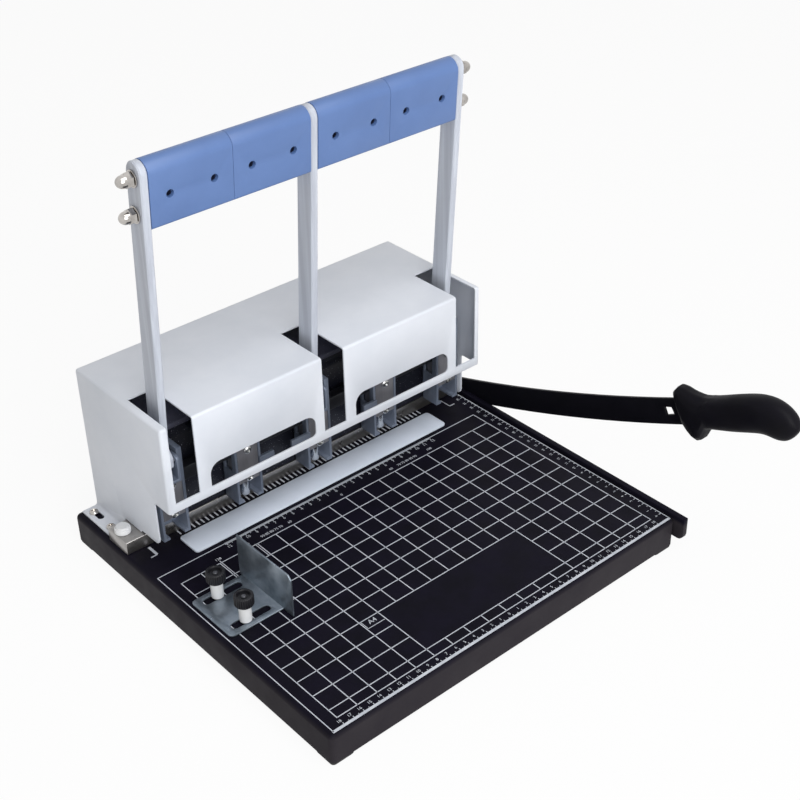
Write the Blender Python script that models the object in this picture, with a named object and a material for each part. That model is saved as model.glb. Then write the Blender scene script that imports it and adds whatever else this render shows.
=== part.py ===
"""Desk machine that punches three archive holes at a spacing that can be set, with a paper cutter arm.

The origin is the centre of the punching pad's top face. X runs along the row of punches, Y from the
operator's side to the back, Z up. All lengths are metres. The lever stands at rest and the cutter arm is
half raised. Levels above the table are measured from the table's top face.
"""

import math

import bmesh
import bpy
from mathutils import Vector

for old in list(bpy.data.objects):
    bpy.data.objects.remove(old, do_unlink=True)

# Gaps between pieces that touch, that turn on each other and that slide in each other.
SEAT = 0.0003
RUNNING = 0.0003
SLIDING = 0.0004
OVERRUN = 0.004

# Facets of small holes, of shafts and screws, of large round pieces, and of a rounded corner.
HOLE_SIDES = 10
SHAFT_SIDES = 10
ROUND_SIDES = 24
CORNER_STEPS = 3
END_STEPS = 5

# Base housing: a folded steel pan with a return flange below.
BASE_WIDTH = 0.394
BASE_DEPTH = 0.372
BASE_HEIGHT = 0.028
BASE_SHEET = 0.0015
BASE_CORNER = 0.0035
BASE_EDGE = 0.0022
BASE_FLANGE = 0.018

# Rubber feet at the corners.
FOOT_SIZE = 0.022
FOOT_HEIGHT = 0.0027
FOOT_INSET = 0.001
FOOT_CORNER = 0.003

# The row of punches stands this far in front of the table's rear edge. Whatever belongs to the row, from the
# hood to the pad and the back gauge, is drawn from it: FRONT reaches lie before the row, BACK reaches behind.
ROW_INSET = 0.099

# Punching pad: the strip that the punches come down on.
PAD_END_INSET = 0.0495
PAD_WIDTH = 0.028
PAD_FRONT = 0.025
PAD_THICK = 0.002
PAD_CORNER = 0.0035

# Hood: a folded sheet with a front panel, a top, two stepped side walls and a rear panel.
HOOD_LEFT_INSET = 0.022
HOOD_RIGHT_INSET = 0.0163
HOOD_FRONT = 0.036
HOOD_DEPTH = 0.132
HOOD_TOP = 0.147
HOOD_SHEET = 0.0015
HOOD_BEND = 0.0025
HOOD_PANEL_BOTTOM = 0.0625
HOOD_FOOT_SETBACK = 0.024
HOOD_FOOT_BOTTOM = 0.0165
HOOD_FOOT_CORNER = 0.006
HOOD_STEP_CORNER = 0.003
HOOD_NOTCH_BACK = 0.0185
HOOD_NOTCH_TOP = 0.014
HOOD_BASE_BACK = 0.046
HOOD_REAR_BOTTOM = 0.020
HOOD_FLANGE_LEFT = 0.016
HOOD_FLANGE_RIGHT = 0.013
HOOD_FLANGE_REAR = 0.001

# Lever slots and windows in the hood.
SLOT_WIDTH = 0.0246
SLOT_BOTTOM = 0.0705
SLOT_BACK = 0.023
WINDOW_LEFT_MARGINS = 0.0119, 0.0099
WINDOW_RIGHT_MARGINS = 0.0115, 0.0103
WINDOW_HEIGHT = 0.023
WINDOW_TOP_CORNER = 0.0105
WINDOW_LOW_CORNER = 0.0015
WINDOW_END_CORNER = 0.004

# Frame: front plate, top plate with a lip and two side plates with the paper throat cut out.
FRAME_LEFT_GAP = 0.0035
FRAME_RIGHT_GAP = 0.003
FRAME_NEAR = 0.0128
FRAME_BACK = 0.088
FRAME_TOP = 0.1125
FRAME_PLATE = 0.003
FRAME_SIDE = 0.0035
THROAT_TOP = 0.0153
THROAT_BACK = 0.047
THROAT_CORNER = 0.005
FRAME_FOOT = 0.016
FRAME_LIP_BACK = 0.011
FRAME_LIP = 0.0048
FRAME_TOP_SHEET = 0.0015

# The five units stand at one pitch between the outer two, which stand in from the frame's ends.
UNIT_LEFT_MARGIN = 0.016
UNIT_RIGHT_MARGIN = 0.0152
UNIT_SHIFT = 0.008

# Bracket of a unit: a U of folded plate, open to the front.
BRACKET_WIDTH = 0.0274
BRACKET_PLATE = 0.0024
BRACKET_FRONT = 0.010
BRACKET_BACK = 0.0125
BRACKET_BOTTOM = 0.0155
BRACKET_TOP = 0.104
BRACKET_BEND = 0.003
BRACKET_FORK = 0.015
BEARING_THICK = 0.0027
BEARING_BOTTOM = 0.080
BEARING_BACK = 0.006
BRACKET_TAB_PROUD = 0.002
TAB_WIDTH = 0.0135
TAB_WIDTH_CENTRE = 0.0187
TAB_BOTTOM = 0.0435
TAB_TOP = 0.057

# Studs that hold the brackets to the front plate, with their nuts.
STUD_LEVEL = 0.099
STUD_SPREAD = 0.0104
MOUNT_RADIUS = 0.002
MOUNT_NUT_RADIUS = 0.004
MOUNT_NUT = 0.003

# Lever: three flat arms that lean forward at rest.
PIVOT_Z = 0.088
LEVER_LEAN = math.radians(4.57)
ARM_THICK = 0.007
ARM_WIDTH = 0.020
ARM_LENGTH = 0.2857
ARM_HEEL = 0.0076
ARM_TAPER_START = 0.004
ARM_TAPER_END = 0.030
ARM_CHAMFER = 0.0011
LUG_REACH = 0.0137
LUG_TOP = 0.0185
LUG_SHOULDER = 0.0125
LUG_BOTTOM = 0.0028
LUG_ROOT = -0.0015
LUG_CORNER = 0.003
PIVOT_RADIUS = 0.003
PIVOT_HEAD_RADIUS = 0.005
PIVOT_HEAD = 0.0023
SPACER_RADIUS = 0.004
LEVER_TRAVEL = math.radians(75)
DRIVE_RADIUS = 0.0116
DRIVE_PIN_RADIUS = 0.0025
DRIVE_PIN_PROUD = 0.0004

# Grips, tie rods and acorn nuts at the top of the lever.
GRIP_TOP_INSET = 0.002
GRIP_HEIGHT = 0.056
GRIP_THICK = 0.021
GRIP_CORNER = 0.0025
GRIP_GAP = 0.0003
ROD_RADIUS = 0.004
ROD_LOW_RISE = 0.0119
ROD_SPACING = 0.0301
GRIP_SCREW_RISE = 0.0256
GRIP_SCREW_MARGIN = 0.0176
GRIP_SINK_RADIUS = 0.0028
GRIP_SINK_DEPTH = 0.004
WASHER_RADIUS = 0.0072
WASHER_THICK = 0.0012
NUT_RADIUS = 0.0068
NUT_HEX = 0.0065
NUT_NECK_RADIUS = 0.0055
NUT_DOME = 0.0068
NUT_BORE = 0.009
NUT_THREAD = 0.007

# Press: the beam, its yokes and the punch holder blocks.
BEAM_FRONT = 0.003
BEAM_DEPTH = 0.010
BEAM_BOTTOM = 0.063
BEAM_HEIGHT = 0.013
BEAM_OVERHANG = 0.0008
YOKE_BASE = 0.0027
YOKE_CHEEK = 0.003
YOKE_FRONT = 0.0175
YOKE_TALL_FRONT = 0.0045
YOKE_TOP = 0.1012
YOKE_STEP = 0.082
YOKE_CORNER = 0.004
YOKE_CLEARANCE = 0.0005
HOLDER_FRONT = 0.0097
HOLDER_BACK = 0.0065
HOLDER_BOTTOM = 0.036
HOLDER_TOP = 0.076
HOLDER_CLEARANCE = 0.0003
PUNCH_RADIUS = 0.005
PUNCH_TIP = 0.017
PUNCH_SEAT_DEPTH = 0.018
PUNCH_BORE = 0.0036
PUNCH_BORE_DEPTH = 0.012
PUNCH_BEVEL = 0.0008

# Return springs between the beam and the anchors on the front plate.
SPRING_OFFSET = 0.0395
SPRING_RADIUS = 0.004
SPRING_WIRE = 0.0009
SPRING_TURNS = 9
SPRING_BACK = 0.002
ANCHOR_WIDTH = 0.012
ANCHOR_PLATE = 0.002
ANCHOR_LEVEL = 0.105
ANCHOR_FRONT = 0.0035

# Back gauge bar with a knob at each end.
GAUGE_LEFT_GAP = 0.0035
GAUGE_RIGHT_GAP = 0.001
GAUGE_NEAR = 0.014
GAUGE_WIDTH = 0.030
GAUGE_HEIGHT = 0.0127
GAUGE_TRAVEL = 0.008
KNOB_LEFT_GAP = 0.011
KNOB_RIGHT_GAP = 0.0078
KNOB_BACK = 0.031
KNOB_RADIUS = 0.008
KNOB_HEIGHT = 0.007
KNOB_CROWN_SHARE = 0.55
KNOB_STEM_RADIUS = 0.0025
KNOB_CLAMP_RADIUS = 0.0055
KNOB_CLAMP = 0.003

# Side guide: an angle that slides under two thumb knobs.
GUIDE_FACE_REACH = 0.033
GUIDE_FOOT_WIDTH = 0.0546
GUIDE_FOOT_FRONT = -0.047
GUIDE_FOOT_DEPTH = 0.0583
GUIDE_SHEET = 0.0015
GUIDE_CORNER = 0.004
GUIDE_WALL_FRONT = -0.060
GUIDE_WALL_DEPTH = 0.075
GUIDE_WALL_TOP = 0.042
GUIDE_CHAMFER = 0.004
GUIDE_SLOT_START = 0.0082
GUIDE_SLOT_LENGTH = 0.0366
GUIDE_SLOT_CLEARANCE = 0.0003
STUD_INSET = 0.030
STUD_FRONT = -0.0375
STUD_SPACING = 0.040
STUD_RADIUS = 0.0022
STUD_BELOW = 0.007
SLEEVE_RADIUS = 0.0062
SLEEVE_HEIGHT = 0.0163
THUMB_RADIUS = 0.0090
THUMB_HEIGHT = 0.0100
THUMB_RECESS_RADIUS = 0.0066
THUMB_RECESS = 0.0046
THUMB_RIBS = 14
THUMB_GROOVE = 0.0009
STUD_PROUD = 0.0004

# Cutter: bed bar on the housing's right side, curved blade and handle.
BED_THICK = 0.0055
BED_TOP = 0.003
BED_HEIGHT = 0.023
BED_PROUD = 0.0095
BED_BACK_INSET = 0.002
BED_CORNER = 0.006
CUTTER_PIVOT_INSET = 0.028
CUTTER_PIVOT_Z = -0.012
CUTTER_BOLT_RADIUS = 0.004
CUTTER_HEAD_RADIUS = 0.0075
CUTTER_HEAD = 0.005
CUTTER_NUT = 0.005
BLADE_THICK = 0.003
BLADE_WIDTH = 0.0243
BLADE_CURVE = 2.076
BLADE_LENGTH = 0.353
BLADE_END_ANGLE = math.radians(25.03)
BLADE_STEPS = 14
BLADE_HEEL = 0.014
BLADE_DROP = 0.004
BLADE_EDGE = 0.003
BLADE_SHOULDER = 0.008
TANG_LENGTH = 0.080
TANG_WIDTH = 0.013
TANG_CLEARANCE = 0.0003
LATCH_START = 0.0065
LATCH_LENGTH = 0.009
LATCH_HEIGHT = 0.008
LATCH_SLANT = 0.0035

# Handle of the cutter arm. Its stations run from the blade outwards. Each row gives the place along the
# length, the bottom and the top of the section over the height, and the half breadth over the thickness.
HANDLE_LENGTH = 0.123
HANDLE_HEIGHT = 0.0736
HANDLE_THICK = 0.024
HANDLE_OVERLAP = 0.00556
HANDLE_SAG = 0.01749
HANDLE_SECTION_SIDES = 12
HANDLE_SHARES = (
    (0.000, 0.448, 0.516, 0.20),
    (0.029, 0.371, 0.590, 0.33),
    (0.070, 0.261, 0.598, 0.40),
    (0.121, 0.124, 0.592, 0.44),
    (0.169, 0.056, 0.592, 0.46),
    (0.211, 0.007, 0.598, 0.46),
    (0.241, 0.000, 0.606, 0.46),
    (0.276, 0.039, 0.628, 0.46),
    (0.294, 0.122, 0.641, 0.46),
    (0.306, 0.213, 0.651, 0.45),
    (0.425, 0.287, 0.762, 0.45),
    (0.548, 0.365, 0.875, 0.46),
    (0.674, 0.465, 0.973, 0.49),
    (0.781, 0.543, 1.000, 0.50),
    (0.860, 0.535, 0.982, 0.48),
    (0.919, 0.556, 0.944, 0.42),
    (0.960, 0.606, 0.897, 0.34),
    (0.989, 0.693, 0.829, 0.20),
    (1.000, 0.747, 0.788, 0.09),
)


def material(name, colour, roughness, metallic):
    """One Principled material."""
    made = bpy.data.materials.new(name)
    made.use_nodes = True
    shader = made.node_tree.nodes["Principled BSDF"]
    shader.inputs["Base Color"].default_value = (*colour, 1)
    shader.inputs["Roughness"].default_value = roughness
    shader.inputs["Metallic"].default_value = metallic
    return made


BLACK_COAT = material("black_powder_coat", (0.022, 0.020, 0.022), 0.55, 0)
FRAME_BLACK = material("frame_black", (0.020, 0.021, 0.026), 0.5, 0)
WHITE_COAT = material("white_powder_coat", (0.78, 0.80, 0.84), 0.42, 0)
RUBBER = material("black_rubber", (0.018, 0.018, 0.018), 0.8, 0)
PAD_PLASTIC = material("pad_plastic", (0.52, 0.58, 0.65), 0.45, 0)
CHROME = material("chrome", (0.80, 0.80, 0.80), 0.15, 1)
PLATE_STEEL = material("dark_plate_steel", (0.17, 0.21, 0.24), 0.45, 0.6)
HOLDER_STEEL = material("holder_steel", (0.16, 0.16, 0.14), 0.45, 0.6)
BRIGHT_STEEL = material("bright_steel", (0.62, 0.62, 0.62), 0.3, 1)
BEAM_STEEL = material("beam_black_oxide", (0.020, 0.021, 0.025), 0.4, 0.4)
BLUE_PLASTIC = material("blue_plastic", (0.16, 0.26, 0.52), 0.5, 0)
GROUND_STEEL = material("ground_steel", (0.42, 0.42, 0.43), 0.25, 1)
GALVANISED = material("galvanised_steel", (0.36, 0.38, 0.41), 0.4, 0.8)
WHITE_PLASTIC = material("white_plastic", (0.80, 0.80, 0.78), 0.4, 0)
BLACK_PLASTIC = material("black_plastic", (0.015, 0.015, 0.016), 0.4, 0)
BLADE_BLACK = material("blade_black", (0.012, 0.011, 0.014), 0.45, 0.2)


def rounded(corners, steps=CORNER_STEPS):
    """Outline through (u, v, radius) corners; a corner with a radius becomes an arc."""
    points = []
    for index, (u, v, radius) in enumerate(corners):
        here = Vector((u, v))
        if radius == 0:
            points.append((u, v))
            continue
        before = (Vector(corners[index - 1][:2]) - here).normalized()
        after = (Vector(corners[(index + 1) % len(corners)][:2]) - here).normalized()
        half = before.angle(after) / 2
        centre = here + (before + after).normalized() * (radius / math.sin(half))
        first = here + before * (radius / math.tan(half)) - centre
        last = here + after * (radius / math.tan(half)) - centre
        start = math.atan2(first.y, first.x)
        turn = (math.atan2(last.y, last.x) - start + math.pi) % (2 * math.pi) - math.pi
        for step in range(steps + 1):
            angle = start + turn * step / steps
            points.append((centre.x + radius * math.cos(angle), centre.y + radius * math.sin(angle)))
    return points


def rectangle(low_u, high_u, low_v, high_v, radius=0):
    """Rectangle with rounded corners."""
    corners = ((low_u, low_v), (high_u, low_v), (high_u, high_v), (low_u, high_v))
    return rounded([(u, v, radius) for u, v in corners])


def circle(u, v, radius, sides=HOLE_SIDES):
    """Regular polygon whose flats lie on the circle, so that a hole keeps its full bore."""
    reach = radius / math.cos(math.pi / sides)
    angles = [2 * math.pi * (side + 0.5) / sides for side in range(sides)]
    return [(u + reach * math.cos(angle), v + reach * math.sin(angle)) for angle in angles]


def obround(low_u, high_u, v, radius, steps=END_STEPS):
    """Slot with round ends, from one end's outermost point to the other's."""
    points = []
    for centre, start in ((high_u - radius, -math.pi / 2), (low_u + radius, math.pi / 2)):
        for step in range(steps + 1):
            angle = start + math.pi * step / steps
            points.append((centre + radius * math.cos(angle), v + radius * math.sin(angle)))
    return points


def place(axis, depth, u, v):
    """Point in space from a depth along an axis and two coordinates across it."""
    if axis == "X":
        return Vector((depth, u, v))
    if axis == "Y":
        return Vector((u, depth, v))
    return Vector((u, v, depth))


def plate(mesh, axis, low, high, outline, holes=()):
    """Flat solid: an outline with holes, extruded along an axis. Returns the corners at the high side."""
    edges = []
    for loop in (outline, *holes):
        ring = [mesh.verts.new(place(axis, low, u, v)) for u, v in loop]
        edges += [mesh.edges.new(pair) for pair in zip(ring, ring[1:] + ring[:1])]
    filled = bmesh.ops.triangle_fill(mesh, edges=edges, use_beauty=True)
    faces = [item for item in filled["geom"] if isinstance(item, bmesh.types.BMFace)]
    pulled = bmesh.ops.extrude_face_region(mesh, geom=faces)
    corners = [item for item in pulled["geom"] if isinstance(item, bmesh.types.BMVert)]
    bmesh.ops.translate(mesh, vec=place(axis, high - low, 0, 0), verts=corners)
    bmesh.ops.recalc_face_normals(mesh, faces=mesh.faces)
    return corners


def block(mesh, low_x, high_x, low_y, high_y, low_z, high_z):
    """Box between two corners."""
    plate(mesh, "Z", low_z, high_z, rectangle(low_x, high_x, low_y, high_y))


def turned(mesh, axis, centre, profile, sides=SHAFT_SIDES, closed=False):
    """Turned solid: (radius, height) pairs turned about an axis through the centre."""
    rings = []
    for radius, height in profile:
        if radius == 0:
            rings.append([mesh.verts.new(Vector(centre) + place(axis, height, 0, 0))])
            continue
        ring = []
        for side in range(sides):
            angle = 2 * math.pi * (side + 0.5) / sides
            offset = place(axis, height, radius * math.cos(angle), radius * math.sin(angle))
            ring.append(mesh.verts.new(Vector(centre) + offset))
        rings.append(ring)
    pairs = list(zip(rings, rings[1:])) + ([(rings[-1], rings[0])] if closed else [])
    for lower, upper in pairs:
        for side in range(sides):
            after = (side + 1) % sides
            around = [lower[side % len(lower)], lower[after % len(lower)]]
            around += [upper[after % len(upper)], upper[side % len(upper)]]
            mesh.faces.new(list(dict.fromkeys(around)))
    bmesh.ops.recalc_face_normals(mesh, faces=mesh.faces)


def empty(name, location, rotation=(0, 0, 0), parent=None):
    """Joint frame that moving pieces hang on."""
    made = bpy.data.objects.new(name, None)
    made.empty_display_size = BASE_HEIGHT
    made.location = location
    made.rotation_euler = rotation
    made.parent = parent
    bpy.context.scene.collection.objects.link(made)
    return made


def finished(mesh, name, look=None):
    """Mesh data of a bmesh, smooth, with sharp edges where it turns by more than 35 degrees."""
    data = bpy.data.meshes.new(name)
    mesh.to_mesh(data)
    mesh.free()
    data.shade_smooth()
    data.set_sharp_from_angle(angle=math.radians(35))
    if look:
        data.materials.append(look)
    return data


def copy(name, data, location=(0, 0, 0), parent=None):
    """Object that uses a mesh, placed by its location under its parent or else on the table."""
    made = bpy.data.objects.new(name, data)
    made.location = location
    made.parent = parent or table
    bpy.context.scene.collection.objects.link(made)
    return made


def solid(name, mesh, look, location=(0, 0, 0), parent=None):
    """Object of the product from a bmesh."""
    return copy(name, finished(mesh, name, look), location, parent)


def hide(tool):
    """Marks a shape that other pieces are cut by or joined with. It isn't a piece by itself."""
    tool.hide_render = True
    tool.display_type = "WIRE"
    return tool


def cutter(name, mesh, location=(0, 0, 0), parent=None):
    """Such a shape from a bmesh."""
    return hide(copy(name, finished(mesh, name), location, parent))


def combine(target, tool, operation="DIFFERENCE"):
    """Boolean of a piece with a cutter or a joined shape."""
    change = target.modifiers.new(operation.lower(), "BOOLEAN")
    change.operation = operation
    change.solver = "EXACT"
    change.object = tool


# Places that several pieces share.
half_width = BASE_WIDTH / 2
half_depth = BASE_DEPTH / 2
hood_left = HOOD_LEFT_INSET - half_width
hood_right = half_width - HOOD_RIGHT_INSET
hood_front = -HOOD_FRONT
hood_back = hood_front + HOOD_DEPTH
frame_left = hood_left + FRAME_LEFT_GAP
frame_right = hood_right - FRAME_RIGHT_GAP
left_outer = frame_left + UNIT_LEFT_MARGIN
right_outer = frame_right - UNIT_RIGHT_MARGIN
unit_pitch = (right_outer - left_outer) / 4
left_inner, centre_unit, right_inner = [left_outer + unit_pitch * step for step in (1, 2, 3)]
fixed_units = (("outer_left", left_outer), ("centre", centre_unit), ("outer_right", right_outer))
sliding_units = (("left", left_inner), ("right", right_inner))
inner_half = BRACKET_WIDTH / 2 - BRACKET_PLATE
flange_top = SEAT + HOOD_SHEET
knob_places = (KNOB_LEFT_GAP - half_width, half_width - KNOB_RIGHT_GAP)
stud_x = STUD_INSET - half_width
studs = [(stud_x, STUD_FRONT), (stud_x, STUD_FRONT + STUD_SPACING)]
row_y = half_depth - ROW_INSET
table = empty("table", (0, PAD_FRONT - PAD_WIDTH / 2 - row_y, -SEAT - PAD_THICK))
row = empty("punch_row", (0, row_y, 0), parent=table)
guide_x = stud_x + GUIDE_FACE_REACH
cutter_pivot_y = half_depth - CUTTER_PIVOT_INSET

# Base housing: box, bottom opened inside its return flange, corners rounded, then given its thickness.
shell = bmesh.new()
bmesh.ops.create_cube(shell, size=1)
bmesh.ops.scale(shell, vec=(BASE_WIDTH, BASE_DEPTH, BASE_HEIGHT), verts=shell.verts)
bmesh.ops.translate(shell, vec=(0, 0, -BASE_HEIGHT / 2), verts=shell.verts)
floor = [face for face in shell.faces if face.normal.z < -0.9]
bmesh.ops.inset_region(shell, faces=floor, thickness=BASE_FLANGE, use_even_offset=True)
bmesh.ops.delete(shell, geom=floor, context="FACES")
upright = [edge for edge in shell.edges if abs(edge.verts[0].co.z - edge.verts[1].co.z) > BASE_HEIGHT / 2]
bmesh.ops.bevel(shell, geom=upright, offset=BASE_CORNER, segments=CORNER_STEPS, affect="EDGES", profile=0.5)
rim = [edge for edge in shell.edges if max(abs(vert.co.z) for vert in edge.verts) < BASE_SHEET]
bmesh.ops.bevel(shell, geom=rim, offset=BASE_EDGE, segments=CORNER_STEPS, affect="EDGES", profile=0.5)
base = solid("base_housing", shell, BLACK_COAT)
sheet = base.modifiers.new("sheet", "SOLIDIFY")
sheet.thickness = BASE_SHEET
sheet.offset = -1
sheet.use_even_offset = True

# Holes in the table for the guide's studs and the gauge's clamp stems, and in the right wall for the pivot.
holes = bmesh.new()
deep, proud = -BASE_SHEET - OVERRUN, OVERRUN
for x, y in studs:
    plate(holes, "Z", deep, proud, circle(x, y, STUD_RADIUS + SEAT))
stem_way = KNOB_STEM_RADIUS + SLIDING
for x in knob_places:
    stem_y = row_y + KNOB_BACK
    travel = rectangle(x - stem_way, x + stem_way, stem_y - GAUGE_TRAVEL - stem_way, stem_y + stem_way)
    plate(holes, "Z", deep, proud, travel)
wall_low, wall_high = half_width - BASE_SHEET - OVERRUN, half_width + OVERRUN
plate(holes, "X", wall_low, wall_high, circle(cutter_pivot_y, CUTTER_PIVOT_Z, CUTTER_BOLT_RADIUS + SEAT))
combine(base, cutter("base_holes", holes))

# Feet: square rubber pads under the return flange.
foot_top = -BASE_HEIGHT - SEAT
corners = (("front_left", -1, -1), ("front_right", 1, -1), ("rear_left", -1, 1), ("rear_right", 1, 1))
for name, side_x, side_y in corners:
    foot = bmesh.new()
    half_foot = FOOT_SIZE / 2
    plate(foot, "Z", -FOOT_HEIGHT, 0, rectangle(-half_foot, half_foot, -half_foot, half_foot, FOOT_CORNER))
    foot_x = side_x * (half_width - FOOT_INSET - half_foot)
    foot_y = side_y * (half_depth - FOOT_INSET - half_foot)
    solid("foot_" + name, foot, RUBBER, (foot_x, foot_y, foot_top))

# Punching pad.
pad = bmesh.new()
half_pad = half_width - PAD_END_INSET
plate(pad, "Z", 0, PAD_THICK, rectangle(-half_pad, half_pad, 0, PAD_WIDTH, PAD_CORNER))
solid("punching_pad", pad, PAD_PLASTIC, (0, -PAD_FRONT, SEAT), row)

# Hood: side walls, top, front and rear panel and flanges as one skin, bent edges rounded, then made thick.
hood = bmesh.new()
foot_front = hood_front + HOOD_FOOT_SETBACK
wall = rounded([
    (hood_front, HOOD_TOP, 0),
    (hood_front, HOOD_PANEL_BOTTOM, 0),
    (foot_front, HOOD_PANEL_BOTTOM, HOOD_STEP_CORNER),
    (foot_front, HOOD_FOOT_BOTTOM, HOOD_FOOT_CORNER),
    (HOOD_NOTCH_BACK, HOOD_FOOT_BOTTOM, 0),
    (HOOD_NOTCH_BACK, HOOD_NOTCH_TOP, 0),
    (HOOD_BASE_BACK, HOOD_NOTCH_TOP, 0),
    (HOOD_BASE_BACK, flange_top, 0),
    (hood_back - HOOD_FLANGE_REAR, flange_top, 0),
    (hood_back, HOOD_REAR_BOTTOM, 0),
    (hood_back, HOOD_TOP, 0),
])
sides = []
for x in (hood_left, hood_right):
    ring = [hood.verts.new((x, y, z)) for y, z in wall]
    hood.faces.new(ring)
    sides.append(ring)
left_ring, right_ring = sides
for first, second in ((0, 1), (-1, 0), (-2, -1)):
    hood.faces.new((left_ring[first], left_ring[second], right_ring[second], right_ring[first]))
bends = [hood.edges.get((left_ring[a], left_ring[b])) for a, b in ((0, 1), (-1, 0), (-2, -1), (-4, -3))]
bends += [hood.edges.get((right_ring[a], right_ring[b])) for a, b in ((0, 1), (-1, 0), (-2, -1), (-4, -3))]
bends += [hood.edges.get((left_ring[a], right_ring[a])) for a in (0, -1)]
for ring, reach in ((left_ring, -HOOD_FLANGE_LEFT), (right_ring, HOOD_FLANGE_RIGHT)):
    outer = [hood.verts.new(ring[spot].co + Vector((reach, 0, 0))) for spot in (-4, -3)]
    hood.faces.new((ring[-4], ring[-3], outer[1], outer[0]))
bmesh.ops.recalc_face_normals(hood, faces=hood.faces)
bmesh.ops.bevel(hood, geom=bends, offset=HOOD_BEND, segments=CORNER_STEPS, affect="EDGES", profile=0.5)
top_face = max(hood.faces, key=lambda face: face.calc_center_median().z)
if top_face.normal.z < 0:
    bmesh.ops.reverse_faces(hood, faces=hood.faces)
cover = solid("hood_cover", hood, WHITE_COAT, (0, 0, 0), row)
sheet = cover.modifiers.new("sheet", "SOLIDIFY")
sheet.thickness = HOOD_SHEET
sheet.offset = -1
sheet.use_even_offset = True

# Lever slots and windows of the hood.
openings = bmesh.new()
for name, x in fixed_units:
    block(openings, x - SLOT_WIDTH / 2, x + SLOT_WIDTH / 2, hood_front - OVERRUN, SLOT_BACK,
          SLOT_BOTTOM, HOOD_TOP + OVERRUN)
window_spans = (
    (left_outer, centre_unit, WINDOW_LEFT_MARGINS), (centre_unit, right_outer, WINDOW_RIGHT_MARGINS),
)
for near, far, (near_margin, far_margin) in window_spans:
    low_x, high_x = near + SLOT_WIDTH / 2 + near_margin, far - SLOT_WIDTH / 2 - far_margin
    window = rounded([
        (low_x, SLOT_BOTTOM, WINDOW_LOW_CORNER),
        (high_x, SLOT_BOTTOM, WINDOW_END_CORNER),
        (high_x, SLOT_BOTTOM + WINDOW_HEIGHT, WINDOW_TOP_CORNER),
        (low_x, SLOT_BOTTOM + WINDOW_HEIGHT, WINDOW_TOP_CORNER),
    ], END_STEPS)
    plate(openings, "Y", hood_front - OVERRUN, hood_front + HOOD_SHEET + OVERRUN, window)
combine(cover, cutter("hood_openings", openings, (0, 0, 0), row))

# Frame front plate, with round holes at the fixed units, slots at the sliding ones and a tab for each spring.
front = bmesh.new()
mount_way = MOUNT_RADIUS + SLIDING
mount_sides = (-STUD_SPREAD / 2, STUD_SPREAD / 2)
front_holes = [circle(x + side, STUD_LEVEL, mount_way) for name, x in fixed_units for side in mount_sides]
for name, x in sliding_units:
    reach = STUD_SPREAD / 2 + UNIT_SHIFT + mount_way
    front_holes.append(obround(x - reach, x + reach, STUD_LEVEL, mount_way, CORNER_STEPS))
plate_left = frame_left + FRAME_SIDE + SEAT
plate_right = frame_right - FRAME_SIDE - SEAT
plate(front, "Y", FRAME_NEAR, FRAME_NEAR + FRAME_PLATE,
      rectangle(plate_left, plate_right, THROAT_TOP, FRAME_TOP), front_holes)
made = solid("frame_front_plate", front, FRAME_BLACK, (0, 0, 0), row)
spring_places = (left_outer + SPRING_OFFSET, right_outer - SPRING_OFFSET)
anchors = bmesh.new()
for x in spring_places:
    block(anchors, x - ANCHOR_WIDTH / 2, x + ANCHOR_WIDTH / 2, -ANCHOR_FRONT, FRAME_NEAR + FRAME_PLATE / 2,
          ANCHOR_LEVEL, ANCHOR_LEVEL + ANCHOR_PLATE)
combine(made, cutter("spring_tabs", anchors, (0, 0, 0), row), "UNION")

# Frame top plate: a flat sheet whose front edge is folded down as a lip.
top = bmesh.new()
top_low = FRAME_TOP + SEAT
top_high = top_low + FRAME_TOP_SHEET
plate(top, "X", frame_left, frame_right, [
    (FRAME_LIP_BACK, top_high - FRAME_LIP),
    (FRAME_LIP_BACK + FRAME_TOP_SHEET, top_high - FRAME_LIP),
    (FRAME_LIP_BACK + FRAME_TOP_SHEET, top_low),
    (FRAME_BACK, top_low),
    (FRAME_BACK, top_high),
    (FRAME_LIP_BACK, top_high),
])
solid("frame_top_plate", top, FRAME_BLACK, (0, 0, 0), row)

# Frame side plates: an angle each, with the paper throat cut out of the lower front.
throat = bmesh.new()
plate(throat, "X", frame_left - OVERRUN, frame_right + OVERRUN, rounded([
    (FRAME_NEAR - OVERRUN, -OVERRUN, 0),
    (THROAT_BACK, -OVERRUN, 0),
    (THROAT_BACK, THROAT_TOP, THROAT_CORNER),
    (FRAME_NEAR - OVERRUN, THROAT_TOP, 0),
]))
throat_shape = cutter("throat_shape", throat, (0, 0, 0), row)
for name, outer, inward in (("frame_side_left", frame_left, 1), ("frame_side_right", frame_right, -1)):
    side = bmesh.new()
    plate(side, "Y", FRAME_NEAR, FRAME_BACK, [
        (outer, SEAT),
        (outer + inward * FRAME_FOOT, SEAT),
        (outer + inward * FRAME_FOOT, SEAT + FRAME_SIDE),
        (outer + inward * FRAME_SIDE, SEAT + FRAME_SIDE),
        (outer + inward * FRAME_SIDE, FRAME_TOP),
        (outer, FRAME_TOP),
    ])
    combine(solid(name, side, FRAME_BLACK, (0, 0, 0), row), throat_shape)

# Brackets of the units. A cavity is cut from a block with rounded rear corners, so that a plate is left on
# each side, a web at the back and two short feet below with a fork between them for the punch.
half_bracket = BRACKET_WIDTH / 2
fork_half = BRACKET_FORK / 2
foot_level = BRACKET_BOTTOM + BRACKET_PLATE
beam_top = BEAM_BOTTOM + BEAM_HEIGHT
beam_front = -BEAM_FRONT
beam_back = beam_front + BEAM_DEPTH
press_travel = 2 * DRIVE_RADIUS * math.sin(LEVER_TRAVEL / 2)
tab_inner = half_bracket - BRACKET_PLATE


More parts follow.
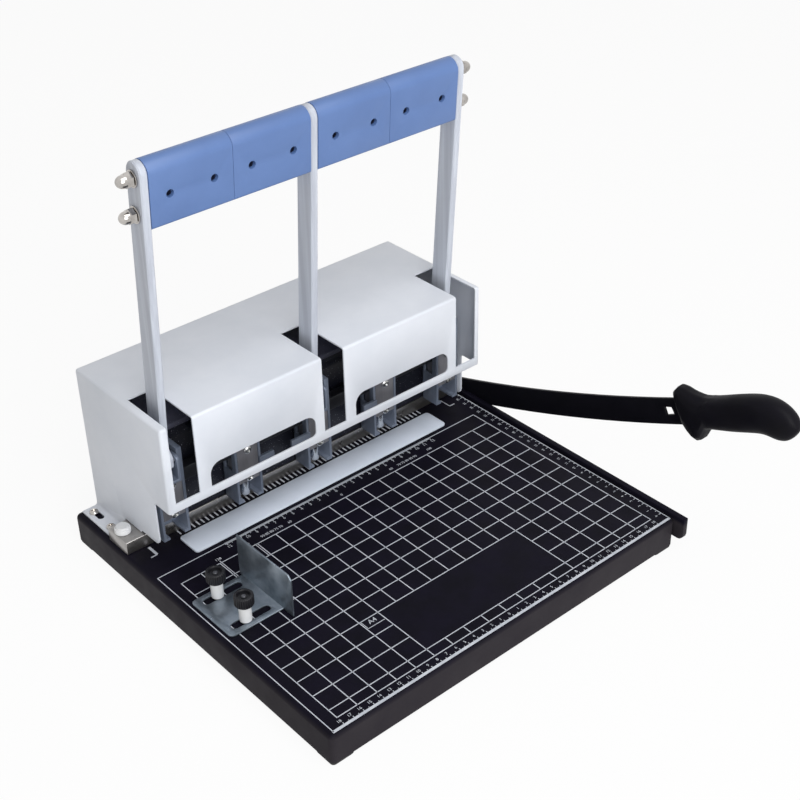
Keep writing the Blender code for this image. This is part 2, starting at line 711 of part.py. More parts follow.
def bracket(name, local, bearing, tabs, parent):
    """One U bracket, with thick bearings for the lever's pivot or without, and bent-out front tabs."""
    body = bmesh.new()
    plate(body, "Z", BRACKET_BOTTOM, BRACKET_TOP, rounded([
        (-half_bracket, -BRACKET_FRONT, 0),
        (half_bracket, -BRACKET_FRONT, 0),
        (half_bracket, BRACKET_BACK, BRACKET_BEND),
        (-half_bracket, BRACKET_BACK, BRACKET_BEND),
    ]))
    made = solid(name, body, PLATE_STEEL, (local, 0, 0), parent)
    for side, width in tabs:
        tab = bmesh.new()
        ends = sorted((side * tab_inner, side * (half_bracket + width)))
        block(tab, *ends, -BRACKET_FRONT - BRACKET_TAB_PROUD, BRACKET_PLATE / 2 - BRACKET_FRONT,
              TAB_BOTTOM, TAB_TOP)
        combine(made, cutter(name + "_tab", tab, (local, 0, 0), parent), "UNION")
    inside = bmesh.new()
    web = BRACKET_BACK - BRACKET_PLATE
    high = BRACKET_TOP + OVERRUN
    low = BRACKET_BOTTOM - OVERRUN
    throat_half = inner_half - BEARING_THICK if bearing else inner_half
    shape = [(-fork_half, low), (fork_half, low), (fork_half, foot_level), (inner_half, foot_level)]
    if bearing:
        shape += [(inner_half, BEARING_BOTTOM), (throat_half, BEARING_BOTTOM), (throat_half, high)]
        shape += [(-throat_half, high), (-throat_half, BEARING_BOTTOM), (-inner_half, BEARING_BOTTOM)]
    else:
        shape += [(inner_half, high), (-inner_half, high)]
    shape += [(-inner_half, foot_level), (-fork_half, foot_level)]
    plate(inside, "Y", -BRACKET_FRONT - OVERRUN, web, shape)
    combine(made, cutter(name + "_inside", inside, (local, 0, 0), parent))
    passes = bmesh.new()
    wide = half_bracket + OVERRUN
    block(passes, -wide, wide, beam_front - RUNNING * 2, beam_back + RUNNING * 2,
          BEAM_BOTTOM - press_travel - RUNNING * 2, beam_top + RUNNING * 2)
    if bearing:
        plate(passes, "X", -wide, wide, circle(0, PIVOT_Z, PIVOT_RADIUS + SEAT))
    combine(made, cutter(name + "_passes", passes, (local, 0, 0), parent))
    if bearing:
        relief = bmesh.new()
        bearing_in = throat_half - OVERRUN / 2
        for low_x, high_x in ((-inner_half, -bearing_in), (bearing_in, inner_half)):
            block(relief, low_x, high_x, BEARING_BACK, web, BEARING_BOTTOM, high)
        combine(made, cutter(name + "_relief", relief, (local, 0, 0), parent))
    mounts = bmesh.new()
    nut = FRAME_NEAR + FRAME_PLATE + SEAT
    for side in mount_sides:
        turned(mounts, "Y", (side, 0, STUD_LEVEL), [
            (0, BRACKET_BACK - BRACKET_PLATE / 2), (MOUNT_RADIUS, BRACKET_BACK - BRACKET_PLATE / 2),
            (MOUNT_RADIUS, nut), (MOUNT_NUT_RADIUS, nut), (MOUNT_NUT_RADIUS, nut + MOUNT_NUT),
            (0, nut + MOUNT_NUT),
        ])
    combine(made, cutter(name + "_mounts", mounts, (local, 0, 0), parent), "UNION")
    return made


for name, x in fixed_units:
    bracket("bracket_" + name, x, True, ((-1, TAB_WIDTH_CENTRE),) if name == "centre" else (), row)

# Brackets that slide sideways on the front plate, one each side of the centre.
for name, x in sliding_units:
    slide = empty(name + "_unit_slide", (x, 0, 0), parent=row)
    bracket("bracket_" + name, 0, False, ((1 if name == "left" else -1, TAB_WIDTH),), slide)

# Lever arms. In the lever's own frame Z runs up the arm and the pivot is the origin.
lever = empty("lever_pivot", (0, 0, PIVOT_Z), (LEVER_LEAN, 0, 0), row)
arm_front = -ARM_HEEL
arm_back = arm_front + ARM_WIDTH
arm_middle = (arm_front + arm_back) / 2
grip_top = ARM_LENGTH - GRIP_TOP_INSET
grip_bottom = grip_top - GRIP_HEIGHT
rod_low = grip_bottom + ROD_LOW_RISE
rod_high = rod_low + ROD_SPACING
pin_angle = LEVER_TRAVEL / 2 + LEVER_LEAN
pin_y = -DRIVE_RADIUS * math.cos(pin_angle)
pin_z = DRIVE_RADIUS * math.sin(pin_angle)
arm_outline = rounded([
    (arm_front, ARM_LENGTH, ARM_WIDTH / 2 * 0.999),
    (arm_front, LUG_TOP, 0),
    (-LUG_REACH, LUG_SHOULDER, LUG_CORNER),
    (-LUG_REACH, LUG_BOTTOM, LUG_CORNER),
    (arm_front, LUG_ROOT, 0),
    (arm_front * 0.7, -ARM_HEEL * 0.72, 0),
    (0, -ARM_HEEL, 0),
    (ARM_HEEL * 0.7, -ARM_HEEL * 0.72, 0),
    (ARM_HEEL, 0, 0),
    (ARM_HEEL, ARM_TAPER_START, 0),
    (arm_back, ARM_TAPER_END, 0),
    (arm_back, ARM_LENGTH, ARM_WIDTH / 2 * 0.999),
], END_STEPS)
arm_holes = [
    circle(0, 0, PIVOT_RADIUS + RUNNING),
    circle(arm_middle, rod_low, ROD_RADIUS + SEAT),
    circle(arm_middle, rod_high, ROD_RADIUS + SEAT),
]
arm = bmesh.new()
half_arm = ARM_THICK / 2
plate(arm, "X", -half_arm, half_arm, arm_outline)
edges = [edge for edge in arm.edges
         if edge.calc_face_angle(0) > 1 and abs(edge.verts[0].co.x - edge.verts[1].co.x) < half_arm]
bmesh.ops.bevel(arm, geom=edges, offset=ARM_CHAMFER, segments=1, affect="EDGES", profile=0.5)
bores = bmesh.new()
for hole in arm_holes:
    plate(bores, "X", -ARM_THICK, ARM_THICK, hole)
pin = bmesh.new()
pin_half = half_arm + RUNNING + YOKE_CHEEK + DRIVE_PIN_PROUD
turned(pin, "X", (0, pin_y, pin_z), [
    (0, -pin_half), (DRIVE_PIN_RADIUS, -pin_half), (DRIVE_PIN_RADIUS, pin_half), (0, pin_half),
])
arm_data = finished(arm, "lever_arm", WHITE_COAT)
bore_data = finished(bores, "arm_bores")
pin_data = finished(pin, "drive_pin")
for name, x in fixed_units:
    made = copy("lever_arm_" + name, arm_data, (x, 0, 0), lever)
    combine(made, hide(copy("arm_bores_" + name, bore_data, (x, 0, 0), lever)))
    combine(made, hide(copy("drive_pin_" + name, pin_data, (x, 0, 0), lever)), "UNION")

# Grips: a profile with a full-round top, bored for the tie rods and sunk for two screws each.
spans = []
for left, right in ((left_outer, centre_unit), (centre_unit, right_outer)):
    low = left + half_arm + GRIP_GAP
    high = right - half_arm - GRIP_GAP
    middle = (low + high) / 2
    spans += [(low, middle - GRIP_GAP / 2), (middle + GRIP_GAP / 2, high)]
grip_back = arm_front + GRIP_THICK
grip_outline = rounded([
    (arm_front, grip_bottom, GRIP_CORNER),
    (grip_back, grip_bottom, GRIP_CORNER),
    (grip_back, grip_top, GRIP_THICK / 2 * 0.999),
    (arm_front, grip_top, GRIP_THICK / 2 * 0.999),
], END_STEPS)
rod_holes = [circle(arm_middle, height, ROD_RADIUS + SEAT) for height in (rod_low, rod_high)]
for number, (low, high) in enumerate(spans, 1):
    grip = bmesh.new()
    length = high - low
    plate(grip, "X", 0, length, grip_outline, rod_holes)
    made = solid("grip_" + str(number), grip, BLUE_PLASTIC, (low, 0, 0), lever)
    sinks = bmesh.new()
    for along in (GRIP_SCREW_MARGIN, length - GRIP_SCREW_MARGIN):
        plate(sinks, "Y", arm_front - OVERRUN, arm_front + GRIP_SINK_DEPTH,
              circle(along, grip_bottom + GRIP_SCREW_RISE, GRIP_SINK_RADIUS))
    combine(made, cutter("grip_sinks_" + str(number), sinks, (low, 0, 0), lever))

# Tie rods through the arms and grips, with a washer-faced acorn nut at each end.
arm_outer_left = left_outer - half_arm
arm_outer_right = right_outer + half_arm
rod_reach = SEAT + WASHER_THICK + NUT_THREAD
rod_length = arm_outer_right - arm_outer_left + 2 * rod_reach
neck = NUT_HEX + NUT_DOME / 4
for level, height in (("lower", rod_low), ("upper", rod_high)):
    rod = bmesh.new()
    turned(rod, "X", (0, 0, 0), [(0, 0), (ROD_RADIUS, 0), (ROD_RADIUS, rod_length), (0, rod_length)])
    solid("tie_rod_" + level, rod, BRIGHT_STEEL, (arm_outer_left - rod_reach, arm_middle, height), lever)
    for end, face, out in (("left", arm_outer_left, -1), ("right", arm_outer_right, 1)):
        nut = bmesh.new()
        turned(nut, "X", (0, 0, 0), [
            (radius, out * (WASHER_THICK + depth)) for radius, depth in (
                (0, NUT_BORE), (ROD_RADIUS + SEAT, NUT_BORE), (ROD_RADIUS + SEAT, -WASHER_THICK),
                (WASHER_RADIUS, -WASHER_THICK), (WASHER_RADIUS, 0), (NUT_RADIUS, 0), (NUT_RADIUS, NUT_HEX),
                (NUT_NECK_RADIUS, neck), (NUT_NECK_RADIUS * 0.72, NUT_HEX + NUT_DOME * 0.8),
                (0, NUT_HEX + NUT_DOME),
            )
        ], SHAFT_SIDES + 2)
        solid("acorn_nut_" + level + "_" + end, nut, CHROME, (face + out * SEAT, arm_middle, height), lever)

# Bolts that the lever turns on: head and nut outside the bracket, a shoulder each side of the arm.
bearing_face = inner_half - BEARING_THICK
half_bolt = [
    (PIVOT_RADIUS, half_arm + RUNNING), (SPACER_RADIUS, half_arm + RUNNING),
    (SPACER_RADIUS, bearing_face - SEAT), (PIVOT_RADIUS, bearing_face - SEAT),
    (PIVOT_RADIUS, half_bracket + SEAT), (PIVOT_HEAD_RADIUS, half_bracket + SEAT),
    (PIVOT_HEAD_RADIUS, half_bracket + SEAT + PIVOT_HEAD), (0, half_bracket + SEAT + PIVOT_HEAD),
]
for name, x in fixed_units:
    pivot = bmesh.new()
    turned(pivot, "X", (0, 0, 0), [(radius, -depth) for radius, depth in reversed(half_bolt)] + half_bolt)
    solid("pivot_bolt_" + name, pivot, BRIGHT_STEEL, (x, 0, PIVOT_Z), row)

# Press beam through all five brackets.
press = empty("press_slide", (0, 0, 0), parent=row)
beam = bmesh.new()
beam_reach = half_bracket + BEAM_OVERHANG
block(beam, left_outer - beam_reach, right_outer + beam_reach, beam_front, beam_back, BEAM_BOTTOM, beam_top)
solid("press_beam", beam, BEAM_STEEL, (0, 0, 0), press)

# Yokes on the beam: a U of plate whose cheeks stand beside the arm and hold its drive pin in a slot.
pin_rest_z = PIVOT_Z + DRIVE_RADIUS * math.sin(LEVER_TRAVEL / 2)
pin_near = -DRIVE_RADIUS * math.cos(LEVER_TRAVEL / 2)
pin_far = -DRIVE_RADIUS
yoke_low = beam_top + SEAT
cheek_inner = half_arm + RUNNING
cheek_outer = cheek_inner + YOKE_CHEEK
pin_way = DRIVE_PIN_RADIUS + YOKE_CLEARANCE
yoke_side = rounded([
    (-YOKE_FRONT, yoke_low, 0),
    (beam_back, yoke_low, 0),
    (beam_back, YOKE_STEP, 0),
    (-YOKE_TALL_FRONT, YOKE_STEP, 0),
    (-YOKE_TALL_FRONT, YOKE_TOP, YOKE_CORNER / 2),
    (-YOKE_FRONT, YOKE_TOP, YOKE_CORNER),
])
for name, x in fixed_units:
    yoke = bmesh.new()
    plate(yoke, "Y", -YOKE_FRONT - OVERRUN, beam_back + OVERRUN, [
        (-cheek_outer, yoke_low - OVERRUN),
        (cheek_outer, yoke_low - OVERRUN),
        (cheek_outer, YOKE_TOP + OVERRUN),
        (cheek_inner, YOKE_TOP + OVERRUN),
        (cheek_inner, yoke_low + YOKE_BASE),
        (-cheek_inner, yoke_low + YOKE_BASE),
        (-cheek_inner, YOKE_TOP + OVERRUN),
        (-cheek_outer, YOKE_TOP + OVERRUN),
    ])
    made = solid("yoke_" + name, yoke, BEAM_STEEL, (x, 0, 0), press)
    profile = bmesh.new()
    plate(profile, "X", -cheek_outer - OVERRUN, cheek_outer + OVERRUN, yoke_side)
    combine(made, cutter("yoke_profile_" + name, profile, (x, 0, 0), press), "INTERSECT")
    way = bmesh.new()
    plate(way, "X", -cheek_outer - OVERRUN, cheek_outer + OVERRUN,
          obround(pin_far - pin_way, pin_near + pin_way, pin_rest_z, pin_way))
    combine(made, cutter("yoke_way_" + name, way, (x, 0, 0), press))

# Punch holder blocks: an L in section that hooks round the beam, bored from below for the punch.
holder_half = inner_half - HOLDER_CLEARANCE
punch_top = HOLDER_BOTTOM + PUNCH_SEAT_DEPTH


def holder(name, x, parent):
    """Holder block at x, bored for a punch."""
    body = bmesh.new()
    plate(body, "X", -holder_half, holder_half, [
        (-HOLDER_FRONT, HOLDER_BOTTOM),
        (HOLDER_BACK, HOLDER_BOTTOM),
        (HOLDER_BACK, BEAM_BOTTOM - SEAT),
        (beam_front - SEAT, BEAM_BOTTOM - SEAT),
        (beam_front - SEAT, HOLDER_TOP),
        (-HOLDER_FRONT, HOLDER_TOP),
    ])
    made = solid(name, body, HOLDER_STEEL, (x, 0, 0), parent)
    bore = bmesh.new()
    plate(bore, "Z", HOLDER_BOTTOM - OVERRUN, punch_top + SEAT, circle(0, 0, PUNCH_RADIUS + SEAT))
    combine(made, cutter(name + "_bore", bore, (x, 0, 0), parent))


def punch(name, x, parent):
    """Tube punch: a round bar, hollow at its sharpened lower end."""
    made = bmesh.new()
    turned(made, "Z", (0, 0, 0), [
        (0, punch_top), (PUNCH_RADIUS, punch_top), (PUNCH_RADIUS, PUNCH_TIP + PUNCH_BEVEL * 2),
        (PUNCH_RADIUS - PUNCH_BEVEL, PUNCH_TIP), (PUNCH_BORE, PUNCH_TIP),
        (PUNCH_BORE, PUNCH_TIP + PUNCH_BORE_DEPTH), (0, PUNCH_TIP + PUNCH_BORE_DEPTH + PUNCH_BORE),
    ], ROUND_SIDES - 4)
    solid(name, made, BRIGHT_STEEL, (x, 0, 0), parent)


for name, x in fixed_units:
    holder("holder_" + name, x, press)
punch("punch_centre", centre_unit, press)
for name, x in sliding_units:
    carriage = empty(name + "_holder_slide", (x, 0, 0), parent=press)
    holder("holder_" + name, 0, carriage)
    punch("punch_" + name, 0, carriage)

# Return springs, drawn as ribbed bodies, between the beam and the tabs of the front plate.
low, high = beam_top + SEAT, ANCHOR_LEVEL - SEAT
pitch = (high - low) / SPRING_TURNS
coils = [(0, low), (SPRING_RADIUS - SPRING_WIRE, low)]
for coil in range(SPRING_TURNS):
    coils.append((SPRING_RADIUS, low + pitch * (coil + 0.5)))
    coils.append((SPRING_RADIUS - SPRING_WIRE, low + pitch * (coil + 1)))
for name, x in zip(("left", "right"), spring_places):
    spring = bmesh.new()
    turned(spring, "Z", (0, 0, 0), coils + [(0, high)], SHAFT_SIDES - 2)
    solid("return_spring_" + name, spring, BRIGHT_STEEL, (x, SPRING_BACK, 0), row)

# Back gauge: a flat bar with a clamp knob at each end, whose stem runs in the table's slot.
gauge = empty("back_gauge_slide", (0, GAUGE_NEAR, SEAT), parent=row)
bar = bmesh.new()
knob_holes = [circle(x, KNOB_BACK - GAUGE_NEAR, KNOB_STEM_RADIUS + SEAT) for x in knob_places]
plate(bar, "Z", 0, GAUGE_HEIGHT,
      rectangle(GAUGE_LEFT_GAP - half_width, half_width - GAUGE_RIGHT_GAP, 0, GAUGE_WIDTH), knob_holes)
solid("back_gauge_bar", bar, GROUND_STEEL, (0, 0, 0), gauge)
for name, x in zip(("gauge_knob_left", "gauge_knob_right"), knob_places):
    knob = bmesh.new()
    crown_rise = KNOB_HEIGHT * KNOB_CROWN_SHARE
    crown = [
        (KNOB_RADIUS * math.cos(turn), KNOB_HEIGHT - crown_rise + crown_rise * math.sin(turn))
        for turn in [math.pi / 2 * step / 4 for step in range(4)]
    ]
    below = -GAUGE_HEIGHT - SEAT * 3 - BASE_SHEET
    turned(knob, "Z", (0, 0, 0), [
        (0, below - KNOB_CLAMP), (KNOB_CLAMP_RADIUS, below - KNOB_CLAMP), (KNOB_CLAMP_RADIUS, below),
        (KNOB_STEM_RADIUS, below), (KNOB_STEM_RADIUS, 0), (KNOB_RADIUS, 0), *crown, (0, KNOB_HEIGHT),
    ], 16)
    solid(name, knob, WHITE_PLASTIC, (x, KNOB_BACK - GAUGE_NEAR, GAUGE_HEIGHT + SEAT), gauge)

# Side guide: a folded angle with two slots in its foot.
guide = empty("side_guide_slide", (guide_x, 0, SEAT), parent=table)
foot = bmesh.new()
foot_left = -GUIDE_FOOT_WIDTH
slot_way = STUD_RADIUS + GUIDE_SLOT_CLEARANCE
slots = [
    obround(foot_left + GUIDE_SLOT_START, foot_left + GUIDE_SLOT_START + GUIDE_SLOT_LENGTH, y, slot_way)
    for x, y in studs
]
foot_rear = GUIDE_FOOT_FRONT + GUIDE_FOOT_DEPTH
plate(foot, "Z", 0, GUIDE_SHEET, rounded([
    (foot_left, GUIDE_FOOT_FRONT, GUIDE_CORNER),
    (-GUIDE_SHEET / 2, GUIDE_FOOT_FRONT, 0),
    (-GUIDE_SHEET / 2, foot_rear, 0),
    (foot_left, foot_rear, GUIDE_CORNER),
]), slots)
made = solid("side_guide", foot, GALVANISED, (0, 0, 0), guide)
upright = bmesh.new()
wall_rear = GUIDE_WALL_FRONT + GUIDE_WALL_DEPTH
plate(upright, "X", -GUIDE_SHEET, 0, [
    (GUIDE_WALL_FRONT, 0),
    (wall_rear, 0),
    (wall_rear, GUIDE_WALL_TOP),
    (GUIDE_WALL_FRONT + GUIDE_CHAMFER, GUIDE_WALL_TOP),
    (GUIDE_WALL_FRONT, GUIDE_WALL_TOP - GUIDE_CHAMFER),
])
combine(made, cutter("side_guide_wall", upright, (0, 0, 0), guide), "UNION")

# Threaded studs with their sleeves, and the ribbed thumb knobs that clamp the guide.
sleeve_low = SEAT + GUIDE_SHEET + SEAT
sleeve_top = sleeve_low + SLEEVE_HEIGHT
thumb_low = sleeve_top + SEAT
recess_floor = THUMB_HEIGHT - THUMB_RECESS
stud_top = thumb_low + recess_floor + STUD_PROUD
ribs = []
for rib in range(THUMB_RIBS):
    for share, depth in ((0.0, THUMB_GROOVE), (0.3, 0), (0.7, 0)):
        angle = 2 * math.pi * (rib + share) / THUMB_RIBS
        ribs.append(((THUMB_RADIUS - depth) * math.cos(angle), (THUMB_RADIUS - depth) * math.sin(angle)))
for name, (x, y) in zip(("front", "rear"), studs):
    stud = bmesh.new()
    turned(stud, "Z", (0, 0, 0), [
        (0, -BASE_SHEET - STUD_BELOW), (STUD_RADIUS, -BASE_SHEET - STUD_BELOW), (STUD_RADIUS, sleeve_low),
        (SLEEVE_RADIUS, sleeve_low), (SLEEVE_RADIUS, sleeve_top), (STUD_RADIUS, sleeve_top),
        (STUD_RADIUS, stud_top), (0, stud_top),
    ], SHAFT_SIDES + 4)
    solid("guide_stud_" + name, stud, WHITE_PLASTIC, (x, y, 0))
    thumb = bmesh.new()
    plate(thumb, "Z", 0, THUMB_HEIGHT, ribs, [circle(0, 0, STUD_RADIUS + SEAT)])
    made = solid("thumb_knob_" + name, thumb, BLACK_PLASTIC, (x, y, thumb_low))
    recess = bmesh.new()
    turned(recess, "Z", (0, 0, 0), [
        (0, recess_floor), (THUMB_RECESS_RADIUS, recess_floor),
        (THUMB_RECESS_RADIUS, THUMB_HEIGHT + OVERRUN), (0, THUMB_HEIGHT + OVERRUN),
    ], ROUND_SIDES - 8)
    combine(made, cutter("thumb_recess_" + name, recess, (x, y, thumb_low)))

# Cutter bed bar on the right wall, bored for the pivot bolt.
bed = bmesh.new()
bed_x = half_width + SEAT
bed_front, bed_back = -half_depth - BED_PROUD, half_depth - BED_BACK_INSET
plate(bed, "X", bed_x, bed_x + BED_THICK, rounded([
    (bed_front, BED_TOP - BED_HEIGHT, BED_CORNER),
    (bed_back, BED_TOP - BED_HEIGHT, BED_CORNER),
    (bed_back, BED_TOP, 0),
    (bed_front, BED_TOP, 0),
]), [circle(cutter_pivot_y, CUTTER_PIVOT_Z, CUTTER_BOLT_RADIUS + SEAT, ROUND_SIDES - 8)])
solid("cutter_bed_bar", bed, GROUND_STEEL)

# Blade: its middle line is an arc from the pivot's heel to the handle, cut to two offsets from it, with a
# tang behind the shoulder. Y and Z are measured from the pivot.
cutter_x = bed_x + BED_THICK + SEAT + BLADE_THICK / 2
arm_pivot = empty("cutter_pivot", (cutter_x, cutter_pivot_y, CUTTER_PIVOT_Z), parent=table)
start_angle = BLADE_END_ANGLE - BLADE_LENGTH / BLADE_CURVE


def along_blade(distance, offset):
    """Point beside the blade's middle line, at a distance from the pivot along it."""
    angle = start_angle + distance / BLADE_CURVE
    y = -BLADE_CURVE * (math.sin(angle) - math.sin(start_angle))
    z = BLADE_CURVE * (math.cos(start_angle) - math.cos(angle)) - BLADE_DROP
    return y + offset * math.sin(angle), z + offset * math.cos(angle)


def past_blade(distance, offset):
    """Point beside the straight line that carries the blade's end on into the handle."""
    y, z = along_blade(BLADE_LENGTH, offset)
    return y - distance * math.cos(BLADE_END_ANGLE), z + distance * math.sin(BLADE_END_ANGLE)


def tang_outline(extra):
    """Tang and shoulder, wider by a clearance."""
    wide, narrow = BLADE_WIDTH / 2 + extra, TANG_WIDTH / 2 + extra
    return [
        past_blade(BLADE_SHOULDER + extra, -wide), past_blade(BLADE_SHOULDER + extra, -narrow),
        past_blade(TANG_LENGTH + extra, -narrow), past_blade(TANG_LENGTH + extra, narrow),
        past_blade(BLADE_SHOULDER + extra, narrow), past_blade(BLADE_SHOULDER + extra, wide),
    ]


half_blade = BLADE_WIDTH / 2
heel = [
    (BLADE_HEEL * math.cos(turn), BLADE_HEEL * math.sin(turn))
    for turn in [math.radians(95) - math.radians(200) * step / 8 for step in range(9)]
]
blade_start = BLADE_HEEL * 1.6
blade_step = (BLADE_LENGTH - blade_start) / BLADE_STEPS
distances = [blade_start + blade_step * step for step in range(BLADE_STEPS + 1)]
edge_line = [along_blade(distance, -half_blade) for distance in distances]
back_line = [along_blade(distance, half_blade) for distance in reversed(distances)]
latch = [
    along_blade(BLADE_LENGTH - LATCH_START - along, height)
    for along, height in (
        (0, -LATCH_HEIGHT / 2), (LATCH_SLANT, LATCH_HEIGHT / 2),
        (LATCH_SLANT + LATCH_LENGTH, LATCH_HEIGHT / 2), (LATCH_LENGTH, -LATCH_HEIGHT / 2),
    )
]
blade = bmesh.new()
outline = heel + edge_line + tang_outline(0) + back_line
outer_side = plate(blade, "X", -BLADE_THICK / 2, BLADE_THICK / 2, outline,
                   [latch, circle(0, 0, CUTTER_BOLT_RADIUS + RUNNING, ROUND_SIDES - 8)])
ground = [along_blade(distance, BLADE_EDGE - half_blade) for distance in distances]
for corner in outer_side:
    for (y, z), (ground_y, ground_z) in zip(edge_line, ground):
        if math.hypot(corner.co.y - y, corner.co.z - z) < SEAT:
            corner.co.y, corner.co.z = ground_y, ground_z
solid("cutter_blade", blade, BLADE_BLACK, (0, 0, 0), arm_pivot)

# Handle: sections along its length, each a rounded ring, with a pocket for the tang.
handle = bmesh.new()
rings = []
blade_end_y, blade_end_z = along_blade(BLADE_LENGTH, 0)
handle_front = blade_end_y + HANDLE_OVERLAP
handle_low = blade_end_z - HANDLE_SAG
for along, low, high, breadth in HANDLE_SHARES:
    middle = (low + high) / 2
    ring = []
    for side in range(HANDLE_SECTION_SIDES):
        turn = 2 * math.pi * (side + 0.5) / HANDLE_SECTION_SIDES
        across, upward = math.cos(turn), math.sin(turn)
        across = math.copysign(abs(across) ** 0.75, across)
        upward = math.copysign(abs(upward) ** 0.75, upward)
        ring.append(handle.verts.new((
            HANDLE_THICK * breadth * across,
            handle_front - HANDLE_LENGTH * along,
            handle_low + HANDLE_HEIGHT * (middle + (high - low) / 2 * upward),
        )))
    rings.append(ring)
for near, far in zip(rings, rings[1:]):
    for side in range(HANDLE_SECTION_SIDES):
        after = (side + 1) % HANDLE_SECTION_SIDES
        handle.faces.new((near[side], near[after], far[after], far[side]))
handle.faces.new(rings[0])
handle.faces.new(rings[-1])
bmesh.ops.recalc_face_normals(handle, faces=handle.faces)
made = solid("cutter_handle", handle, BLACK_PLASTIC, (0, 0, 0), arm_pivot)
pocket = bmesh.new()
wide = half_blade + TANG_CLEARANCE
mouth = past_blade(-HANDLE_HEIGHT / 2, wide), past_blade(-HANDLE_HEIGHT / 2, -wide)
pocket_half = BLADE_THICK / 2 + TANG_CLEARANCE
plate(pocket, "X", -pocket_half, pocket_half, [mouth[1], *tang_outline(TANG_CLEARANCE), mouth[0]])
combine(made, cutter("handle_pocket", pocket, (0, 0, 0), arm_pivot))

# Pivot bolt of the cutter: head outside the blade, nut inside the housing.
swivel = bmesh.new()
blade_outer = cutter_x + BLADE_THICK / 2 + RUNNING
nut_face = half_width - BASE_SHEET - SEAT
turned(swivel, "X", (0, cutter_pivot_y, CUTTER_PIVOT_Z), [
    (0, nut_face - CUTTER_NUT), (CUTTER_HEAD_RADIUS, nut_face - CUTTER_NUT), (CUTTER_HEAD_RADIUS, nut_face),
    (CUTTER_BOLT_RADIUS, nut_face), (CUTTER_BOLT_RADIUS, blade_outer), (CUTTER_HEAD_RADIUS, blade_outer),
    (CUTTER_HEAD_RADIUS, blade_outer + CUTTER_HEAD * 0.7),
    (CUTTER_HEAD_RADIUS * 0.7, blade_outer + CUTTER_HEAD), (0, blade_outer + CUTTER_HEAD),
], ROUND_SIDES - 8)
solid("cutter_pivot_bolt", swivel, BRIGHT_STEEL)
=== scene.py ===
import math

import bmesh
import bpy
from mathutils import Matrix, Vector


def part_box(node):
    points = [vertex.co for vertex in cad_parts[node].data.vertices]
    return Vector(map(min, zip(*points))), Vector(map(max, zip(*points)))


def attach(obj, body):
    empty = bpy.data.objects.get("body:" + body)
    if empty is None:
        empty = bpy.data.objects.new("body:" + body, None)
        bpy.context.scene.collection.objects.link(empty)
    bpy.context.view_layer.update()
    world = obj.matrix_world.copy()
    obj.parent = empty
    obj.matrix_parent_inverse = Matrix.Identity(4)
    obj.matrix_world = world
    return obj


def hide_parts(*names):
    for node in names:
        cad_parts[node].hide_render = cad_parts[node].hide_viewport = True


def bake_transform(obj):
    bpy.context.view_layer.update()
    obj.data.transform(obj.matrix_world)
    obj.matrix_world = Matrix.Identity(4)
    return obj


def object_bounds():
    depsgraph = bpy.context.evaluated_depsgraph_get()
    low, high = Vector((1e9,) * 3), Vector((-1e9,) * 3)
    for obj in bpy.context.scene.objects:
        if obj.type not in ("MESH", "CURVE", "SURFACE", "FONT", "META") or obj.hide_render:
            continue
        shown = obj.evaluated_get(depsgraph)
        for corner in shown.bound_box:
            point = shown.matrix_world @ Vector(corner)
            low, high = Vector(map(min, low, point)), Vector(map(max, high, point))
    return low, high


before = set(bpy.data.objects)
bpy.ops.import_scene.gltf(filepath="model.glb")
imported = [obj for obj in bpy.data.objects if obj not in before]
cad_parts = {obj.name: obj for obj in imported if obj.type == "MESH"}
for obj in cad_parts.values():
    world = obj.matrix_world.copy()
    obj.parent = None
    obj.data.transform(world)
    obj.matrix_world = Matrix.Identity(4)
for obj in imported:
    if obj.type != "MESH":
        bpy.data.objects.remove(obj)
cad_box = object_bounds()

# Camera: it stands at the operator's left and looks down on the table, as in the photograph.
# The three rows are its right, up and backward directions.
camera_lens = bpy.data.cameras.new("camera")
camera_lens.lens = 64.9
camera_lens.sensor_width = 36
camera_lens.clip_start = 0.01
camera_lens.clip_end = 60
camera = bpy.data.objects.new("camera", camera_lens)
bpy.context.scene.collection.objects.link(camera)
camera_axes = Matrix(
    (
        (0.75351, -0.65715, -0.01956),
        (0.37106, 0.40053, 0.83779),
        (-0.54272, -0.63854, 0.54565),
    )
)
camera.matrix_world = Matrix.Translation((-0.6468, -0.8795, 0.7930)) @ camera_axes.transposed().to_4x4()
bpy.context.scene.camera = camera

# Base housing: a sheet steel pan folded down on four sides, powder coated in warm black.
# The coat has a fine orange peel. Its sides are painted lighter and warmer as painted light, and the table
# top darker and cooler as painted shade.
mm = 0.001
table_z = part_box("base_housing")[1].z
table_y = -0.248


def ink(red, green, blue):
    """A colour as it looks in the photograph, 0 to 255, as Blender's linear colour."""
    shares = [value / 255 for value in (red, green, blue)]
    linear = [s / 12.92 if s <= 0.04045 else ((s + 0.055) / 1.055) ** 2.4 for s in shares]
    return (*linear, 1.0)


def add_node(tree, kind, **settings):
    node = tree.nodes.new(kind)
    for name, value in settings.items():
        setattr(node, name, value)
    return node


def new_shader_group(name, inputs, outputs):
    tree = bpy.data.node_groups.new(name, "ShaderNodeTree")
    for label, kind, value in inputs:
        tree.interface.new_socket(label, in_out="INPUT", socket_type=kind).default_value = value
    for label, kind in outputs:
        tree.interface.new_socket(label, in_out="OUTPUT", socket_type=kind)
    return tree, add_node(tree, "NodeGroupInput"), add_node(tree, "NodeGroupOutput")


